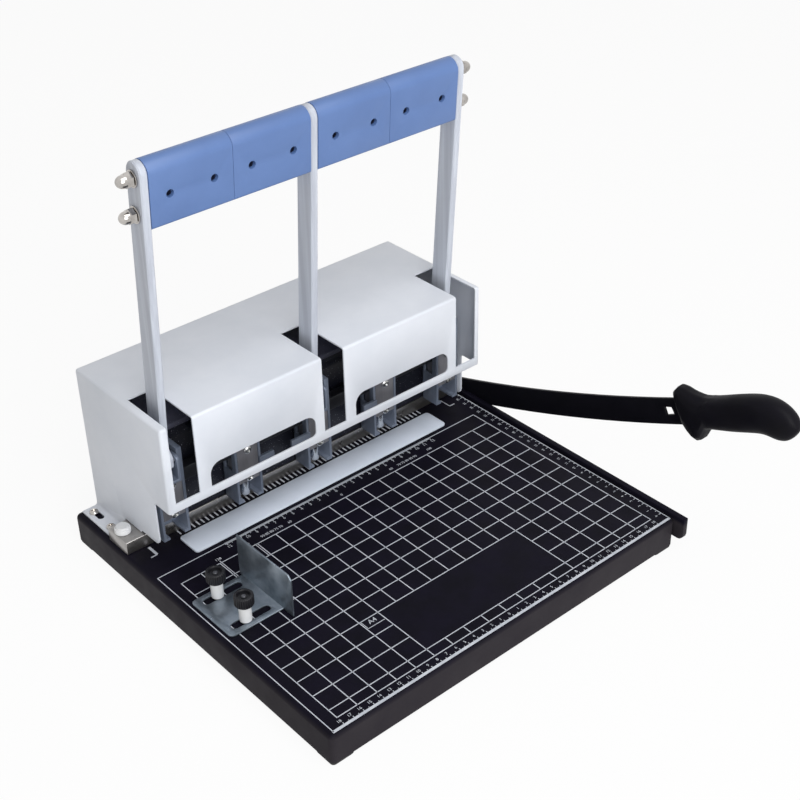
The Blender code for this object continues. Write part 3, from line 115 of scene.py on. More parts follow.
# Mottling: slow drift between two close colours and two roughness values, as a coat or a casting has.
# Stretch draws the colours out into streaks, as brushing does.
mottling, entry, exit_ = new_shader_group(
    "mottling",
    (
        ("Colour", "NodeSocketColor", (0.5, 0.5, 0.5, 1)),
        ("Second Colour", "NodeSocketColor", (0.4, 0.4, 0.4, 1)),
        ("Patch Frequency", "NodeSocketFloat", 18.0),
        ("Roughness Low", "NodeSocketFloat", 0.35),
        ("Roughness High", "NodeSocketFloat", 0.5),
        ("Stretch", "NodeSocketVector", (1, 1, 1)),
    ),
    (("Colour", "NodeSocketColor"), ("Roughness", "NodeSocketFloat")),
)
place = add_node(mottling, "ShaderNodeTexCoord")
drawn = add_node(mottling, "ShaderNodeVectorMath", operation="MULTIPLY")
drift = add_node(mottling, "ShaderNodeTexNoise")
drift.inputs["Detail"].default_value = 5
drift.inputs["Roughness"].default_value = 0.6
smudge = add_node(mottling, "ShaderNodeTexNoise")
smudge.inputs["Scale"].default_value = 61
smudge.inputs["Detail"].default_value = 3
tones = add_node(mottling, "ShaderNodeMix", data_type="RGBA")
spread = add_node(mottling, "ShaderNodeMapRange")
spread.inputs["From Min"].default_value = 0.35
spread.inputs["From Max"].default_value = 0.65
sheen = add_node(mottling, "ShaderNodeMapRange")
sheen.inputs["From Min"].default_value = 0.3
sheen.inputs["From Max"].default_value = 0.7
mottling.links.new(place.outputs["Object"], drawn.inputs[0])
mottling.links.new(entry.outputs["Stretch"], drawn.inputs[1])
mottling.links.new(drawn.outputs["Vector"], drift.inputs["Vector"])
mottling.links.new(place.outputs["Object"], smudge.inputs["Vector"])
mottling.links.new(entry.outputs["Patch Frequency"], drift.inputs["Scale"])
mottling.links.new(drift.outputs["Fac"], spread.inputs["Value"])
mottling.links.new(spread.outputs["Result"], tones.inputs["Factor"])
mottling.links.new(entry.outputs["Colour"], tones.inputs["A"])
mottling.links.new(entry.outputs["Second Colour"], tones.inputs["B"])
mottling.links.new(smudge.outputs["Fac"], sheen.inputs["Value"])
mottling.links.new(entry.outputs["Roughness Low"], sheen.inputs["To Min"])
mottling.links.new(entry.outputs["Roughness High"], sheen.inputs["To Max"])
mottling.links.new(tones.outputs["Result"], exit_.inputs["Colour"])
mottling.links.new(sheen.outputs["Result"], exit_.inputs["Roughness"])

# Grain: the height of a fine skin. Stretch draws it out along one direction, as brushing and rolling do.
grain, entry, exit_ = new_shader_group(
    "grain",
    (
        ("Stretch", "NodeSocketVector", (1, 1, 1)),
        ("Frequency", "NodeSocketFloat", 700.0),
    ),
    (("Height", "NodeSocketFloat"),),
)
place = add_node(grain, "ShaderNodeTexCoord")
drawn = add_node(grain, "ShaderNodeVectorMath", operation="MULTIPLY")
skin = add_node(grain, "ShaderNodeTexNoise")
skin.inputs["Detail"].default_value = 3
skin.inputs["Roughness"].default_value = 0.55
grain.links.new(place.outputs["Object"], drawn.inputs[0])
grain.links.new(entry.outputs["Stretch"], drawn.inputs[1])
grain.links.new(drawn.outputs["Vector"], skin.inputs["Vector"])
grain.links.new(entry.outputs["Frequency"], skin.inputs["Scale"])
grain.links.new(skin.outputs["Fac"], exit_.inputs["Height"])


def use_group(material, tree, **values):
    node = add_node(material.node_tree, "ShaderNodeGroup", node_tree=tree)
    for label, value in values.items():
        node.inputs[label.replace("_", " ")].default_value = value
    return node


def finish_material(name, colour, second, roughness, metal=0.0, patches=18.0, grain_size=700.0,
                    grain_depth=0.00002, stretch=(1, 1, 1), shine=0.5):
    """A Principled material with mottled colour and roughness and a fine skin."""
    material = bpy.data.materials.new(name)
    material.use_nodes = True
    links = material.node_tree.links
    shader = material.node_tree.nodes["Principled BSDF"]
    shader.inputs["Metallic"].default_value = metal
    shader.inputs["Specular IOR Level"].default_value = shine
    tone = use_group(
        material, mottling, Colour=ink(*colour), Second_Colour=ink(*second),
        Patch_Frequency=patches, Roughness_Low=roughness[0], Roughness_High=roughness[1], Stretch=stretch,
    )
    skin = use_group(material, grain, Stretch=stretch, Frequency=grain_size)
    bump = add_node(material.node_tree, "ShaderNodeBump")
    bump.inputs["Strength"].default_value = 0.6
    bump.inputs["Distance"].default_value = grain_depth
    links.new(tone.outputs["Colour"], shader.inputs["Base Color"])
    links.new(tone.outputs["Roughness"], shader.inputs["Roughness"])
    links.new(skin.outputs["Height"], bump.inputs["Height"])
    links.new(bump.outputs["Normal"], shader.inputs["Normal"])
    return material


def shade_by_angle(mesh, degrees=35):
    mesh.polygons.foreach_set("use_smooth", [True] * len(mesh.polygons))
    mesh.set_sharp_from_angle(angle=math.radians(degrees))


def put_piece(name, mesh, material, body, slot, *nodes):
    """A finished mesh as a piece that rides on a body, and stands for the nodes given."""
    mesh.materials.clear()
    mesh.materials.append(material)
    piece = bpy.data.objects.new(name, mesh)
    bpy.context.scene.collection.objects.link(piece)
    if body:
        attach(piece, body)
    if nodes:
        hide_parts(*nodes)
    return piece


merge_reach = 0.002 * mm


def softened(node, width, steps=2, sharp=40, reshape=None):
    """A copy of a CAD node whose sharp edges are rounded a little, as a real edge is."""
    work = bmesh.new()
    work.from_mesh(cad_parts[node].data)
    bmesh.ops.remove_doubles(work, verts=work.verts, dist=merge_reach)
    if reshape:
        reshape(work)
    bmesh.ops.dissolve_limit(
        work, angle_limit=math.radians(0.4), verts=work.verts, edges=work.edges, delimit={"NORMAL"}
    )
    edges = [
        edge for edge in work.edges
        if len(edge.link_faces) == 2 and edge.calc_face_angle(0) > math.radians(sharp)
    ]
    bmesh.ops.bevel(
        work, geom=edges, offset=width, segments=steps, profile=0.5, affect="EDGES", clamp_overlap=True
    )
    bmesh.ops.triangulate(work, faces=[face for face in work.faces if len(face.verts) > 4])
    mesh = bpy.data.meshes.new(node)
    work.to_mesh(mesh)
    work.free()
    shade_by_angle(mesh, 32)
    return mesh


black_coat = finish_material(
    "black_powder_coat", (49, 46, 50), (43, 40, 45), (0.42, 0.54), grain_size=900, grain_depth=0.00003,
    shine=0.04,
)
# Painted light and shade: lighter, warmer sides where the light falls, a darker, cooler table face in shade,
# and the fold leads from one to the other.
coat_tree = black_coat.node_tree
coat_shader = coat_tree.nodes["Principled BSDF"]
side_painted_light_tone = coat_shader.inputs["Base Color"].links[0].from_socket
face_painted_shade_tone = use_group(
    black_coat, mottling, Colour=ink(21, 19, 31), Second_Colour=ink(17, 16, 24), Patch_Frequency=34,
)
spot = add_node(coat_tree, "ShaderNodeTexCoord")
apart = add_node(coat_tree, "ShaderNodeSeparateXYZ")
rise = add_node(coat_tree, "ShaderNodeMapRange")
fade_start, fade_end = 4 * mm, 0.4 * mm
rise.inputs["From Min"].default_value = table_z - fade_start
rise.inputs["From Max"].default_value = table_z - fade_end
painted_light_and_shade_blend = add_node(coat_tree, "ShaderNodeMix", data_type="RGBA")
coat_tree.links.new(spot.outputs["Object"], apart.inputs["Vector"])
coat_tree.links.new(apart.outputs["Z"], rise.inputs["Value"])
coat_tree.links.new(rise.outputs["Result"], painted_light_and_shade_blend.inputs["Factor"])
coat_tree.links.new(side_painted_light_tone, painted_light_and_shade_blend.inputs["A"])
coat_tree.links.new(face_painted_shade_tone.outputs["Colour"], painted_light_and_shade_blend.inputs["B"])
coat_tree.links.new(painted_light_and_shade_blend.outputs["Result"], coat_shader.inputs["Base Color"])


def folded_pan(low, high, corner, fold, sheet, flange):
    """A sheet pan open at the bottom: rounded corners, a rolled rim and a flange turned in below."""
    work = bmesh.new()
    bmesh.ops.create_cube(work, size=1)
    middle, size = (low + high) / 2, high - low
    for vert in work.verts:
        vert.co = Vector(middle[i] + vert.co[i] * size[i] for i in range(3))
    uprights = [edge for edge in work.edges if abs(edge.verts[0].co.z - edge.verts[1].co.z) > size.z / 2]
    bmesh.ops.bevel(work, geom=uprights, offset=corner, segments=5, profile=0.5, affect="EDGES")
    rim = [edge for edge in work.edges if min(v.co.z for v in edge.verts) > high.z - fold / 4]
    bmesh.ops.bevel(work, geom=rim, offset=fold, segments=6, profile=0.5, affect="EDGES")
    below = [face for face in work.faces if face.normal.z < -0.9]
    bmesh.ops.inset_region(work, faces=below, thickness=flange, use_even_offset=True)
    bmesh.ops.delete(work, geom=below, context="FACES")
    bmesh.ops.recalc_face_normals(work, faces=work.faces)
    bmesh.ops.solidify(work, geom=work.faces[:], thickness=sheet)
    mesh = bpy.data.meshes.new("housing_pan")
    work.to_mesh(mesh)
    work.free()
    shade_by_angle(mesh, 32)
    return mesh


pan_corner, pan_fold, pan_sheet, pan_flange = 5.0 * mm, 4.4 * mm, 1.5 * mm, 18 * mm
pan = folded_pan(*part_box("base_housing"), pan_corner, pan_fold, pan_sheet, pan_flange)
put_piece("housing_pan", pan, black_coat, "base", "black_coat", "base_housing")

# Rubber feet: four moulded black blocks under the corners of the housing.
# Their skin is dull and a little coarse. They are pressed into holes in the housing's flange.
foot_rubber = finish_material(
    "foot_rubber", (34, 33, 34), (26, 26, 27), (0.65, 0.8), grain_size=1500, grain_depth=0.00005
)
for foot in ("foot_front_left", "foot_front_right", "foot_rear_left", "foot_rear_right"):
    put_piece(foot + "_rubber", softened(foot, 0.0004), foot_rubber, "base", "foot_rubber", foot)

# Table print: a white grid of 20 mm squares, centimetre rulers on three sides, corner marks for the paper
# and a bare panel, all screen printed on the table. The lines and ticks come from one ruled tree.
print_thick = 0.06 * mm
line_width = 0.85 * mm
panel_left, panel_right = -80, 80


def new_geometry_tree(name, inputs):
    tree = bpy.data.node_groups.new(name, "GeometryNodeTree")
    sockets = {
        label: tree.interface.new_socket(label, in_out="INPUT", socket_type=kind)
        for label, kind in (("Geometry", "NodeSocketGeometry"), *inputs)
    }
    tree.interface.new_socket("Geometry", in_out="OUTPUT", socket_type="NodeSocketGeometry")
    return tree, sockets, add_node(tree, "NodeGroupInput"), add_node(tree, "NodeGroupOutput")


def grown(tree, sockets, **values):
    """The mesh that a Geometry Nodes tree makes from these inputs."""
    seed = bpy.data.objects.new(tree.name, bpy.data.meshes.new(tree.name))
    bpy.context.scene.collection.objects.link(seed)
    modifier = seed.modifiers.new("tree", "NODES")
    modifier.node_group = tree
    for label, value in values.items():
        modifier[sockets[label.replace("_", " ")].identifier] = value
    bpy.context.view_layer.update()
    evaluated = seed.evaluated_get(bpy.context.evaluated_depsgraph_get())
    mesh = bpy.data.meshes.new_from_object(evaluated)
    seed.modifiers.remove(modifier)
    bpy.data.objects.remove(seed)
    return mesh


print_white = finish_material(
    "print_white", (214, 218, 226), (188, 194, 204), (0.5, 0.62), patches=120, grain_size=1800
)

# The ruled tree: bars of one length at one pitch along X, each lying along Y.
ruled, ruled_sockets, entry, exit_ = new_geometry_tree(
    "ruled_lines",
    (
        ("Count", "NodeSocketInt"), ("Start", "NodeSocketVector"), ("Step", "NodeSocketVector"),
        ("Bar", "NodeSocketVector"), ("Ink", "NodeSocketMaterial"),
    ),
)
row = add_node(ruled, "GeometryNodeMeshLine", mode="OFFSET")
bar = add_node(ruled, "GeometryNodeMeshCube")
spots = add_node(ruled, "GeometryNodeInstanceOnPoints")
real = add_node(ruled, "GeometryNodeRealizeInstances")
inked = add_node(ruled, "GeometryNodeSetMaterial")
ruled.links.new(entry.outputs["Count"], row.inputs["Count"])
ruled.links.new(entry.outputs["Start"], row.inputs["Start Location"])
ruled.links.new(entry.outputs["Step"], row.inputs["Offset"])
ruled.links.new(entry.outputs["Bar"], bar.inputs["Size"])
ruled.links.new(row.outputs["Mesh"], spots.inputs["Points"])
ruled.links.new(bar.outputs["Mesh"], spots.inputs["Instance"])
ruled.links.new(spots.outputs["Instances"], real.inputs["Geometry"])
ruled.links.new(real.outputs["Geometry"], inked.inputs["Geometry"])
ruled.links.new(entry.outputs["Ink"], inked.inputs["Material"])
ruled.links.new(inked.outputs["Geometry"], exit_.inputs["Geometry"])

printed = bmesh.new()


def rule(count, x, y, step, size):
    """Bars on the table: the first one's centre, the step to the next and the bar's size, all in mm."""
    mesh = grown(
        ruled, ruled_sockets, Count=count,
        Start=(x * mm, table_y + y * mm, table_z + print_thick / 2),
        Step=(step[0] * mm, step[1] * mm, 0.0),
        Bar=(size[0] * mm, size[1] * mm, print_thick),
        Ink=print_white,
    )
    printed.from_mesh(mesh)
    bpy.data.meshes.remove(mesh)


thin = line_width / mm
# Columns: full ones beside the panel, broken ones over and under it.
rule(5, -180, 105, (20, 0), (thin, 210 + thin))
rule(5, 100, 105, (20, 0), (thin, 210 + thin))
rule(9, panel_left, 5, (20, 0), (thin, 10))
rule(9, panel_left, 140, (20, 0), (thin, 140))
rule(2, panel_left, 40, (panel_right - panel_left, 0), (thin, 60 + thin))
# Rows: the front strip, the rows beside the panel and the full ones behind it.
rule(2, 0, 0, (0, 10), (360, thin))
rule(2, -130, 30, (0, 20), (100, thin))
rule(2, 130, 30, (0, 20), (100, thin))
rule(8, 0, 70, (0, 20), (360, thin))
rule(1, 180, 219.7, (20, 0), (thin, 20))
# Second columns beside the first and the third, where shorter sheets end.
rule(1, -138.2, 193, (20, 0), (thin * 0.8, 40))
rule(1, -102.0, 200.5, (20, 0), (thin * 0.8, 21))
# Front ruler: a wide white band with a tick at each half centimetre and a number at each centimetre.
rule(1, 1, -9.8, (20, 0), (386, 2.6))
rule(37, -180, -7.7, (10, 0), (0.6, 1.8))
rule(36, -175, -8.0, (10, 0), (0.6, 1.2))
# Right ruler: an outer line with ticks inside it.
rule(1, 194, 128.5, (20, 0), (thin, 277))
rule(27, 192.4, 0, (0, 10), (3.0, 0.55))
rule(27, 192.9, 5, (0, 10), (2.0, 0.55))
rule(1, -191.2, 109.6, (20, 0), (thin, 239.4))
# Back ruler in front of the pad, and the pale scale that runs under the gauge bar.
rule(1, -5.5, 229.4, (20, 0), (371.8, thin))
rule(1, -1.0, 229.0, (20, 0), (241, 2.5))
rule(24, -115, 227.2, (10, 0), (0.6, 1.8))
rule(25, -120, 226.9, (10, 0), (0.7, 2.4))
rule(58, -142.0, 270.0, (5, 0), (1.5, 6.6))
# Corner marks for the sheet, one at each end of the row.
for side, bar_width in ((-1, 2.6), (1, thin)):
    rule(1, side * 173.5, 263.9, (20, 0), (bar_width, 13.4))
    rule(1, side * 176.6, 257.0, (20, 0), (6.4, 1.1))
# Tag for the sheet size at the panel's left.
rule(1, -90, 59.8, (20, 0), (17.6, 0.6))
rule(1, -98.6, 64.9, (20, 0), (0.6, 10.2))


def lettering(words, height, x, y, turn=0.0):
    """Printed numbers: a text made into a mesh, then laid on the table."""
    curve = bpy.data.curves.new(words, "FONT")
    curve.body = words
    curve.size = height * 1.4 * mm
    curve.align_x = "CENTER"
    curve.align_y = "CENTER"
    curve.extrude = print_thick / 2
    curve.resolution_u = 2
    stamp = bpy.data.objects.new(words, curve)
    bpy.context.scene.collection.objects.link(stamp)
    bpy.context.view_layer.update()
    mesh = bpy.data.meshes.new_from_object(
        stamp.evaluated_get(bpy.context.evaluated_depsgraph_get())
    )
    bpy.data.objects.remove(stamp)
    bpy.data.curves.remove(curve)
    spot = Vector((x * mm, table_y + y * mm, table_z + print_thick / 2))
    mesh.transform(Matrix.Translation(spot) @ Matrix.Rotation(math.radians(turn), 4, "Z"))
    printed.from_mesh(mesh)
    bpy.data.meshes.remove(mesh)


for number in range(-18, 19):
    lettering(str(abs(number)), 2.9, number * 10 - 1.3, -4.3)
for number in range(-12, 13):
    lettering(str(abs(number)), 3.3, number * 10, 223.4)
# Hole distances from the middle, in mm, on both sides of it.
for place in (-138, -108, -90, -85, -80, -75, -70, -60, 0, 60, 70, 75, 80, 85, 90, 108):
    lettering(str(abs(place)), 3.0, place, 215.4)
for number in range(0, 27):
    lettering(str(number), 2.6, 187.6, number * 10, 90)
lettering("A4", 5.0, -90, 65.2)
bmesh.ops.remove_doubles(printed, verts=printed.verts, dist=0.0000005)
print_mesh = bpy.data.meshes.new("table_print")
printed.to_mesh(print_mesh)
printed.free()
put_piece("table_print", print_mesh, print_white, "base", "black_coat")

# Punching pad: a strip of pale bluish plastic let into the table, which the punches come down on.
# It is cut from sheet, so its face is matt with faint cloudy tones.
pad_plastic = finish_material(
    "pad_plastic", (221, 229, 243), (212, 221, 235), (0.42, 0.55), patches=22, grain_size=1200
)
put_piece("pad_strip", softened("punching_pad", 0.0004), pad_plastic, "base", "pad_plastic", "punching_pad")

# Frame under the hood: a front plate, a top plate with a folded lip and two C-shaped side plates.
# All are steel plate in gloss black paint with dust specks. The top plate gets a lighter grey copy of the paint,
# which is painted light for the light falling on it from above.
dust, entry, exit_ = new_shader_group(
    "dust",
    (("Colour", "NodeSocketColor", (0.1, 0.1, 0.1, 1)), ("Dust Colour", "NodeSocketColor", (0.3, 0.3, 0.3, 1))),
    (("Colour", "NodeSocketColor"),),
)
place = add_node(dust, "ShaderNodeTexCoord")
specks = add_node(dust, "ShaderNodeTexNoise")
specks.inputs["Scale"].default_value = 850
specks.inputs["Detail"].default_value = 1
spots = add_node(dust, "ShaderNodeMapRange")
spots.inputs["From Min"].default_value = 0.7
spots.inputs["From Max"].default_value = 0.76
dusted = add_node(dust, "ShaderNodeMix", data_type="RGBA")
dust.links.new(place.outputs["Object"], specks.inputs["Vector"])
dust.links.new(specks.outputs["Fac"], spots.inputs["Value"])
dust.links.new(spots.outputs["Result"], dusted.inputs["Factor"])
dust.links.new(entry.outputs["Colour"], dusted.inputs["A"])
dust.links.new(entry.outputs["Dust Colour"], dusted.inputs["B"])
dust.links.new(dusted.outputs["Result"], exit_.inputs["Colour"])


def lay_dust(material):
    """Fine pale specks on the paint of a material."""
    shader = material.node_tree.nodes["Principled BSDF"]
    paint = shader.inputs["Base Color"].links[0].from_socket
    layer = use_group(material, dust, Dust_Colour=ink(150, 150, 158))
    material.node_tree.links.new(paint, layer.inputs["Colour"])
    material.node_tree.links.new(layer.outputs["Colour"], shader.inputs["Base Color"])


frame_black = finish_material(
    "frame_black", (28, 29, 40), (22, 23, 31), (0.28, 0.4), grain_size=800, grain_depth=0.00003, shine=0.3
)
# The top plate's lighter grey is painted light: the same black paint, lit from above.
frame_grey = finish_material(
    "frame_grey", (92, 92, 110), (70, 70, 84), (0.34, 0.46), patches=30, grain_size=800, grain_depth=0.00003
)
lay_dust(frame_black)
lay_dust(frame_grey)
for plate in ("frame_front_plate", "frame_side_left", "frame_side_right"):
    put_piece(plate + "_painted", softened(plate, 0.0003), frame_black, "base", "frame_black", plate)
top_mesh = softened("frame_top_plate", 0.0003)
put_piece("frame_top_plate_painted", top_mesh, frame_grey, "base", "frame_black", "frame_top_plate")

# Units: five U-shaped brackets of bluish plated steel, each with a holder block between its cheeks.
# The two movable ones ride on their own slides, the other three stand on the frame.
bracket_steel = finish_material(
    "bracket_steel", (128, 137, 154), (104, 113, 130), (0.34, 0.48), metal=0.3, patches=40,
    grain_size=300, stretch=(1, 1, 0.12), grain_depth=0.00002,
)
holder_steel = finish_material(
    "holder_steel", (148, 148, 154), (120, 120, 126), (0.3, 0.44), metal=0.5, patches=45,
    grain_size=400, stretch=(1, 1, 0.15), grain_depth=0.00002,
)
ground_steel = finish_material(
    "ground_steel", (205, 208, 212), (180, 184, 190), (0.16, 0.26), metal=1.0, patches=60,
    grain_size=600, stretch=(1, 1, 0.1), grain_depth=0.00001,
)
units = (
    ("bracket_outer_left", "base"), ("bracket_centre", "base"), ("bracket_outer_right", "base"),
    ("bracket_left", "unit_left"), ("bracket_right", "unit_right"),
)
for bracket, body in units:
    put_piece(bracket + "_plate", softened(bracket, 0.0003), bracket_steel, body, "bracket_steel", bracket)
holders = (
    ("holder_outer_left", "press"), ("holder_left", "punch_set_left"), ("holder_centre", "press"),
    ("holder_right", "punch_set_right"), ("holder_outer_right", "press"),
)
for holder, body in holders:
    put_piece(holder + "_block", softened(holder, 0.0005), holder_steel, body, "holder_steel", holder)
punches = (("punch_left", "punch_set_left"), ("punch_centre", "press"), ("punch_right", "punch_set_right"))
for punch, body in punches:
    put_piece(punch + "_tube", softened(punch, 0.0002), ground_steel, body, "ground_steel", punch)

# Holder screws: two bright pan-head screws with a cross recess clamp each block to its punch.
# One head is turned and cut, and a tree sets it on its points, each at its own angle.
bright_steel = finish_material(
    "bright_steel", (216, 216, 214), (196, 197, 198), (0.18, 0.3), metal=1.0, patches=90,
    grain_size=900, grain_depth=0.00001,
)


def turned(profile, sides=32):
    """A closed round piece about Z from its outline, given as radius and height in mm from axis to axis."""
    work = bmesh.new()
    rings = []
    for radius, height in profile:
        if radius < 0.0001:
            rings.append([work.verts.new((0, 0, height * mm))])
            continue
        rings.append([
            work.verts.new((
                radius * mm * math.cos(math.tau * side / sides),
                radius * mm * math.sin(math.tau * side / sides), height * mm,
            ))
            for side in range(sides)
        ])
    for low, high in zip(rings, rings[1:]):
        for side in range(sides):
            after = (side + 1) % sides
            corners = [
                low[side % len(low)], low[after % len(low)], high[after % len(high)], high[side % len(high)],
            ]
            work.faces.new(list(dict.fromkeys(corners)))
    bmesh.ops.recalc_face_normals(work, faces=work.faces)
    mesh = bpy.data.meshes.new("turned")
    work.to_mesh(mesh)
    work.free()
    shade_by_angle(mesh)
    return mesh


def carved(shape, tool):
    """The mesh with the tool's form taken out of it."""
    tool_part = bpy.data.objects.new("tool", tool)
    body_part = bpy.data.objects.new("body", shape)
    for part in (tool_part, body_part):
        bpy.context.scene.collection.objects.link(part)
    cut = body_part.modifiers.new("cut", "BOOLEAN")
    cut.object = tool_part
    cut.solver = "EXACT"
    cut.use_self = True
    bpy.context.view_layer.update()
    made = bpy.data.meshes.new_from_object(body_part.evaluated_get(bpy.context.evaluated_depsgraph_get()))
    for part in (tool_part, body_part):
        bpy.data.objects.remove(part)
    shade_by_angle(made)
    return made


def cross_tool(top, depth, reach, breadth):
    """Two crossed bars, for the recess of a cross head screw."""
    cutter = bmesh.new()
    for long_x in (True, False):
        size = (reach, breadth) if long_x else (breadth, reach)
        bmesh.ops.create_cube(
            cutter, size=mm,
            matrix=Matrix.Translation((0, 0, top * mm)) @ Matrix.Diagonal((*size, 2 * depth, 1)),
        )
    cross = bpy.data.meshes.new("cross")
    cutter.to_mesh(cross)
    cutter.free()
    return cross


screws_tree, screws_sockets, entry, exit_ = new_geometry_tree(
    "screws_on_points",
    (
        ("Head", "NodeSocketObject"), ("Size", "NodeSocketFloat"), ("Facing", "NodeSocketVector"),
        ("Seed", "NodeSocketInt"), ("Metal", "NodeSocketMaterial"),
    ),
)
head_shape = add_node(screws_tree, "GeometryNodeObjectInfo")
spin = add_node(screws_tree, "FunctionNodeRandomValue", data_type="FLOAT")
spin.inputs[3].default_value = math.tau
face_out = add_node(screws_tree, "FunctionNodeAlignRotationToVector", axis="Z")
own_turn = add_node(screws_tree, "FunctionNodeAxisAngleToRotation")
own_turn.inputs["Axis"].default_value = (0, 0, 1)
both = add_node(screws_tree, "FunctionNodeRotateRotation", rotation_space="LOCAL")
spots = add_node(screws_tree, "GeometryNodeInstanceOnPoints")
real = add_node(screws_tree, "GeometryNodeRealizeInstances")
plated = add_node(screws_tree, "GeometryNodeSetMaterial")
screws_tree.links.new(entry.outputs["Geometry"], spots.inputs["Points"])
screws_tree.links.new(entry.outputs["Head"], head_shape.inputs["Object"])
screws_tree.links.new(head_shape.outputs["Geometry"], spots.inputs["Instance"])
screws_tree.links.new(entry.outputs["Seed"], spin.inputs["Seed"])
screws_tree.links.new(entry.outputs["Facing"], face_out.inputs["Vector"])
screws_tree.links.new(spin.outputs[1], own_turn.inputs["Angle"])
screws_tree.links.new(face_out.outputs["Rotation"], both.inputs["Rotation"])
screws_tree.links.new(own_turn.outputs["Rotation"], both.inputs["Rotate By"])
screws_tree.links.new(both.outputs["Rotation"], spots.inputs["Rotation"])
screws_tree.links.new(entry.outputs["Size"], spots.inputs["Scale"])
screws_tree.links.new(spots.outputs["Instances"], real.inputs["Geometry"])
screws_tree.links.new(real.outputs["Geometry"], plated.inputs["Geometry"])
screws_tree.links.new(entry.outputs["Metal"], plated.inputs["Material"])
screws_tree.links.new(plated.outputs["Geometry"], exit_.inputs["Geometry"])


def set_screws(name, head, points, facing, seed, material, body, slot, size=1.0):
    """One mesh of heads on the points, each facing out and turned to its own angle."""
    cloud = bpy.data.meshes.new(name)
    cloud.from_pydata([tuple(point) for point in points], [], [])
    holder = bpy.data.objects.new(name, cloud)
    pattern = bpy.data.objects.new(name + "_head", head)
    for part in (holder, pattern):
        bpy.context.scene.collection.objects.link(part)
    modifier = holder.modifiers.new("screws", "NODES")
    modifier.node_group = screws_tree
    values = (("Head", pattern), ("Size", size), ("Facing", facing), ("Seed", seed), ("Metal", material))
    for label, value in values:
        modifier[screws_sockets[label].identifier] = value
    bpy.context.view_layer.update()
    mesh = bpy.data.meshes.new_from_object(holder.evaluated_get(bpy.context.evaluated_depsgraph_get()))
    holder.modifiers.remove(modifier)
    for part in (holder, pattern):
        bpy.data.objects.remove(part)
    shade_by_angle(mesh)
    return put_piece(name, mesh, material, body, slot)


pan_head = carved(
    turned(((0, -0.4), (2.2, -0.4), (2.2, 0), (4.1, 0), (4.25, 0.3), (4.2, 1.1), (3.8, 1.9), (2.9, 2.6),
            (1.6, 3.0), (0, 3.1))),
    cross_tool(3.1, 1.7, 4.6, 1.2),
)
screw_levels = (table_z + 70 * mm, table_z + 40.7 * mm)
first_seed = 11
for number, (holder, body) in enumerate(holders):
    low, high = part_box(holder)
    middle = (low.x + high.x) / 2
    set_screws(
        holder + "_screws", pan_head, [(middle, low.y, level) for level in screw_levels], (0, -1, 0),
        first_seed + number, bright_steel, body, "bright_steel",
    )

# Press: a black beam through all five brackets, with a steel yoke over each fixed unit's slot.
# It is sawn from bar and painted. The yokes are folded plate.
beam_black = finish_material(
    "beam_black", (34, 35, 40), (26, 27, 31), (0.32, 0.45), grain_size=700, grain_depth=0.00003
)
put_piece("press_beam_bar", softened("press_beam", 0.0005), beam_black, "press", "beam_black", "press_beam")
for yoke in ("yoke_outer_left", "yoke_centre", "yoke_outer_right"):
    put_piece(yoke + "_plate", softened(yoke, 0.0003), bracket_steel, "press", "bracket_steel", yoke)

# Return springs: cold drawn wire wound in eleven open turns, between the beam and the anchors on the
# front plate.
wire_radius = 0.45 * mm
spring_turns = 11.0
coils, coils_sockets, entry, exit_ = new_geometry_tree(
    "coil_spring",
    (
        ("Turns", "NodeSocketFloat"), ("Radius", "NodeSocketFloat"), ("Height", "NodeSocketFloat"),
        ("Wire", "NodeSocketFloat"), ("Foot", "NodeSocketVector"), ("Metal", "NodeSocketMaterial"),
    ),
)
helix = add_node(coils, "GeometryNodeCurveSpiral")
helix.inputs["Resolution"].default_value = 20
section = add_node(coils, "GeometryNodeCurvePrimitiveCircle")
section.inputs["Resolution"].default_value = 8
drawn_wire = add_node(coils, "GeometryNodeCurveToMesh")
drawn_wire.inputs["Fill Caps"].default_value = True
lifted = add_node(coils, "GeometryNodeTransform")
real = add_node(coils, "GeometryNodeRealizeInstances")
sprung = add_node(coils, "GeometryNodeSetMaterial")
coils.links.new(entry.outputs["Turns"], helix.inputs["Rotations"])
coils.links.new(entry.outputs["Radius"], helix.inputs["Start Radius"])
coils.links.new(entry.outputs["Radius"], helix.inputs["End Radius"])
coils.links.new(entry.outputs["Height"], helix.inputs["Height"])
coils.links.new(entry.outputs["Wire"], section.inputs["Radius"])
coils.links.new(helix.outputs["Curve"], drawn_wire.inputs["Curve"])
coils.links.new(section.outputs["Curve"], drawn_wire.inputs["Profile Curve"])
coils.links.new(drawn_wire.outputs["Mesh"], lifted.inputs["Geometry"])
coils.links.new(entry.outputs["Foot"], lifted.inputs["Translation"])
coils.links.new(lifted.outputs["Geometry"], real.inputs["Geometry"])
coils.links.new(real.outputs["Geometry"], sprung.inputs["Geometry"])
coils.links.new(entry.outputs["Metal"], sprung.inputs["Material"])
coils.links.new(sprung.outputs["Geometry"], exit_.inputs["Geometry"])
for spring in ("return_spring_left", "return_spring_right"):
    low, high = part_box(spring)
    axis = (low + high) / 2
    mesh = grown(
        coils, coils_sockets, Turns=spring_turns, Radius=(high.x - low.x) / 2 - wire_radius,
        Height=high.z - low.z - 2 * wire_radius, Wire=wire_radius,
        Foot=(axis.x, axis.y, low.z + wire_radius), Metal=bright_steel,
    )
    shade_by_angle(mesh, 60)
    coil = put_piece(spring + "_coil", mesh, bright_steel, None, "bright_steel", spring)
    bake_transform(coil)

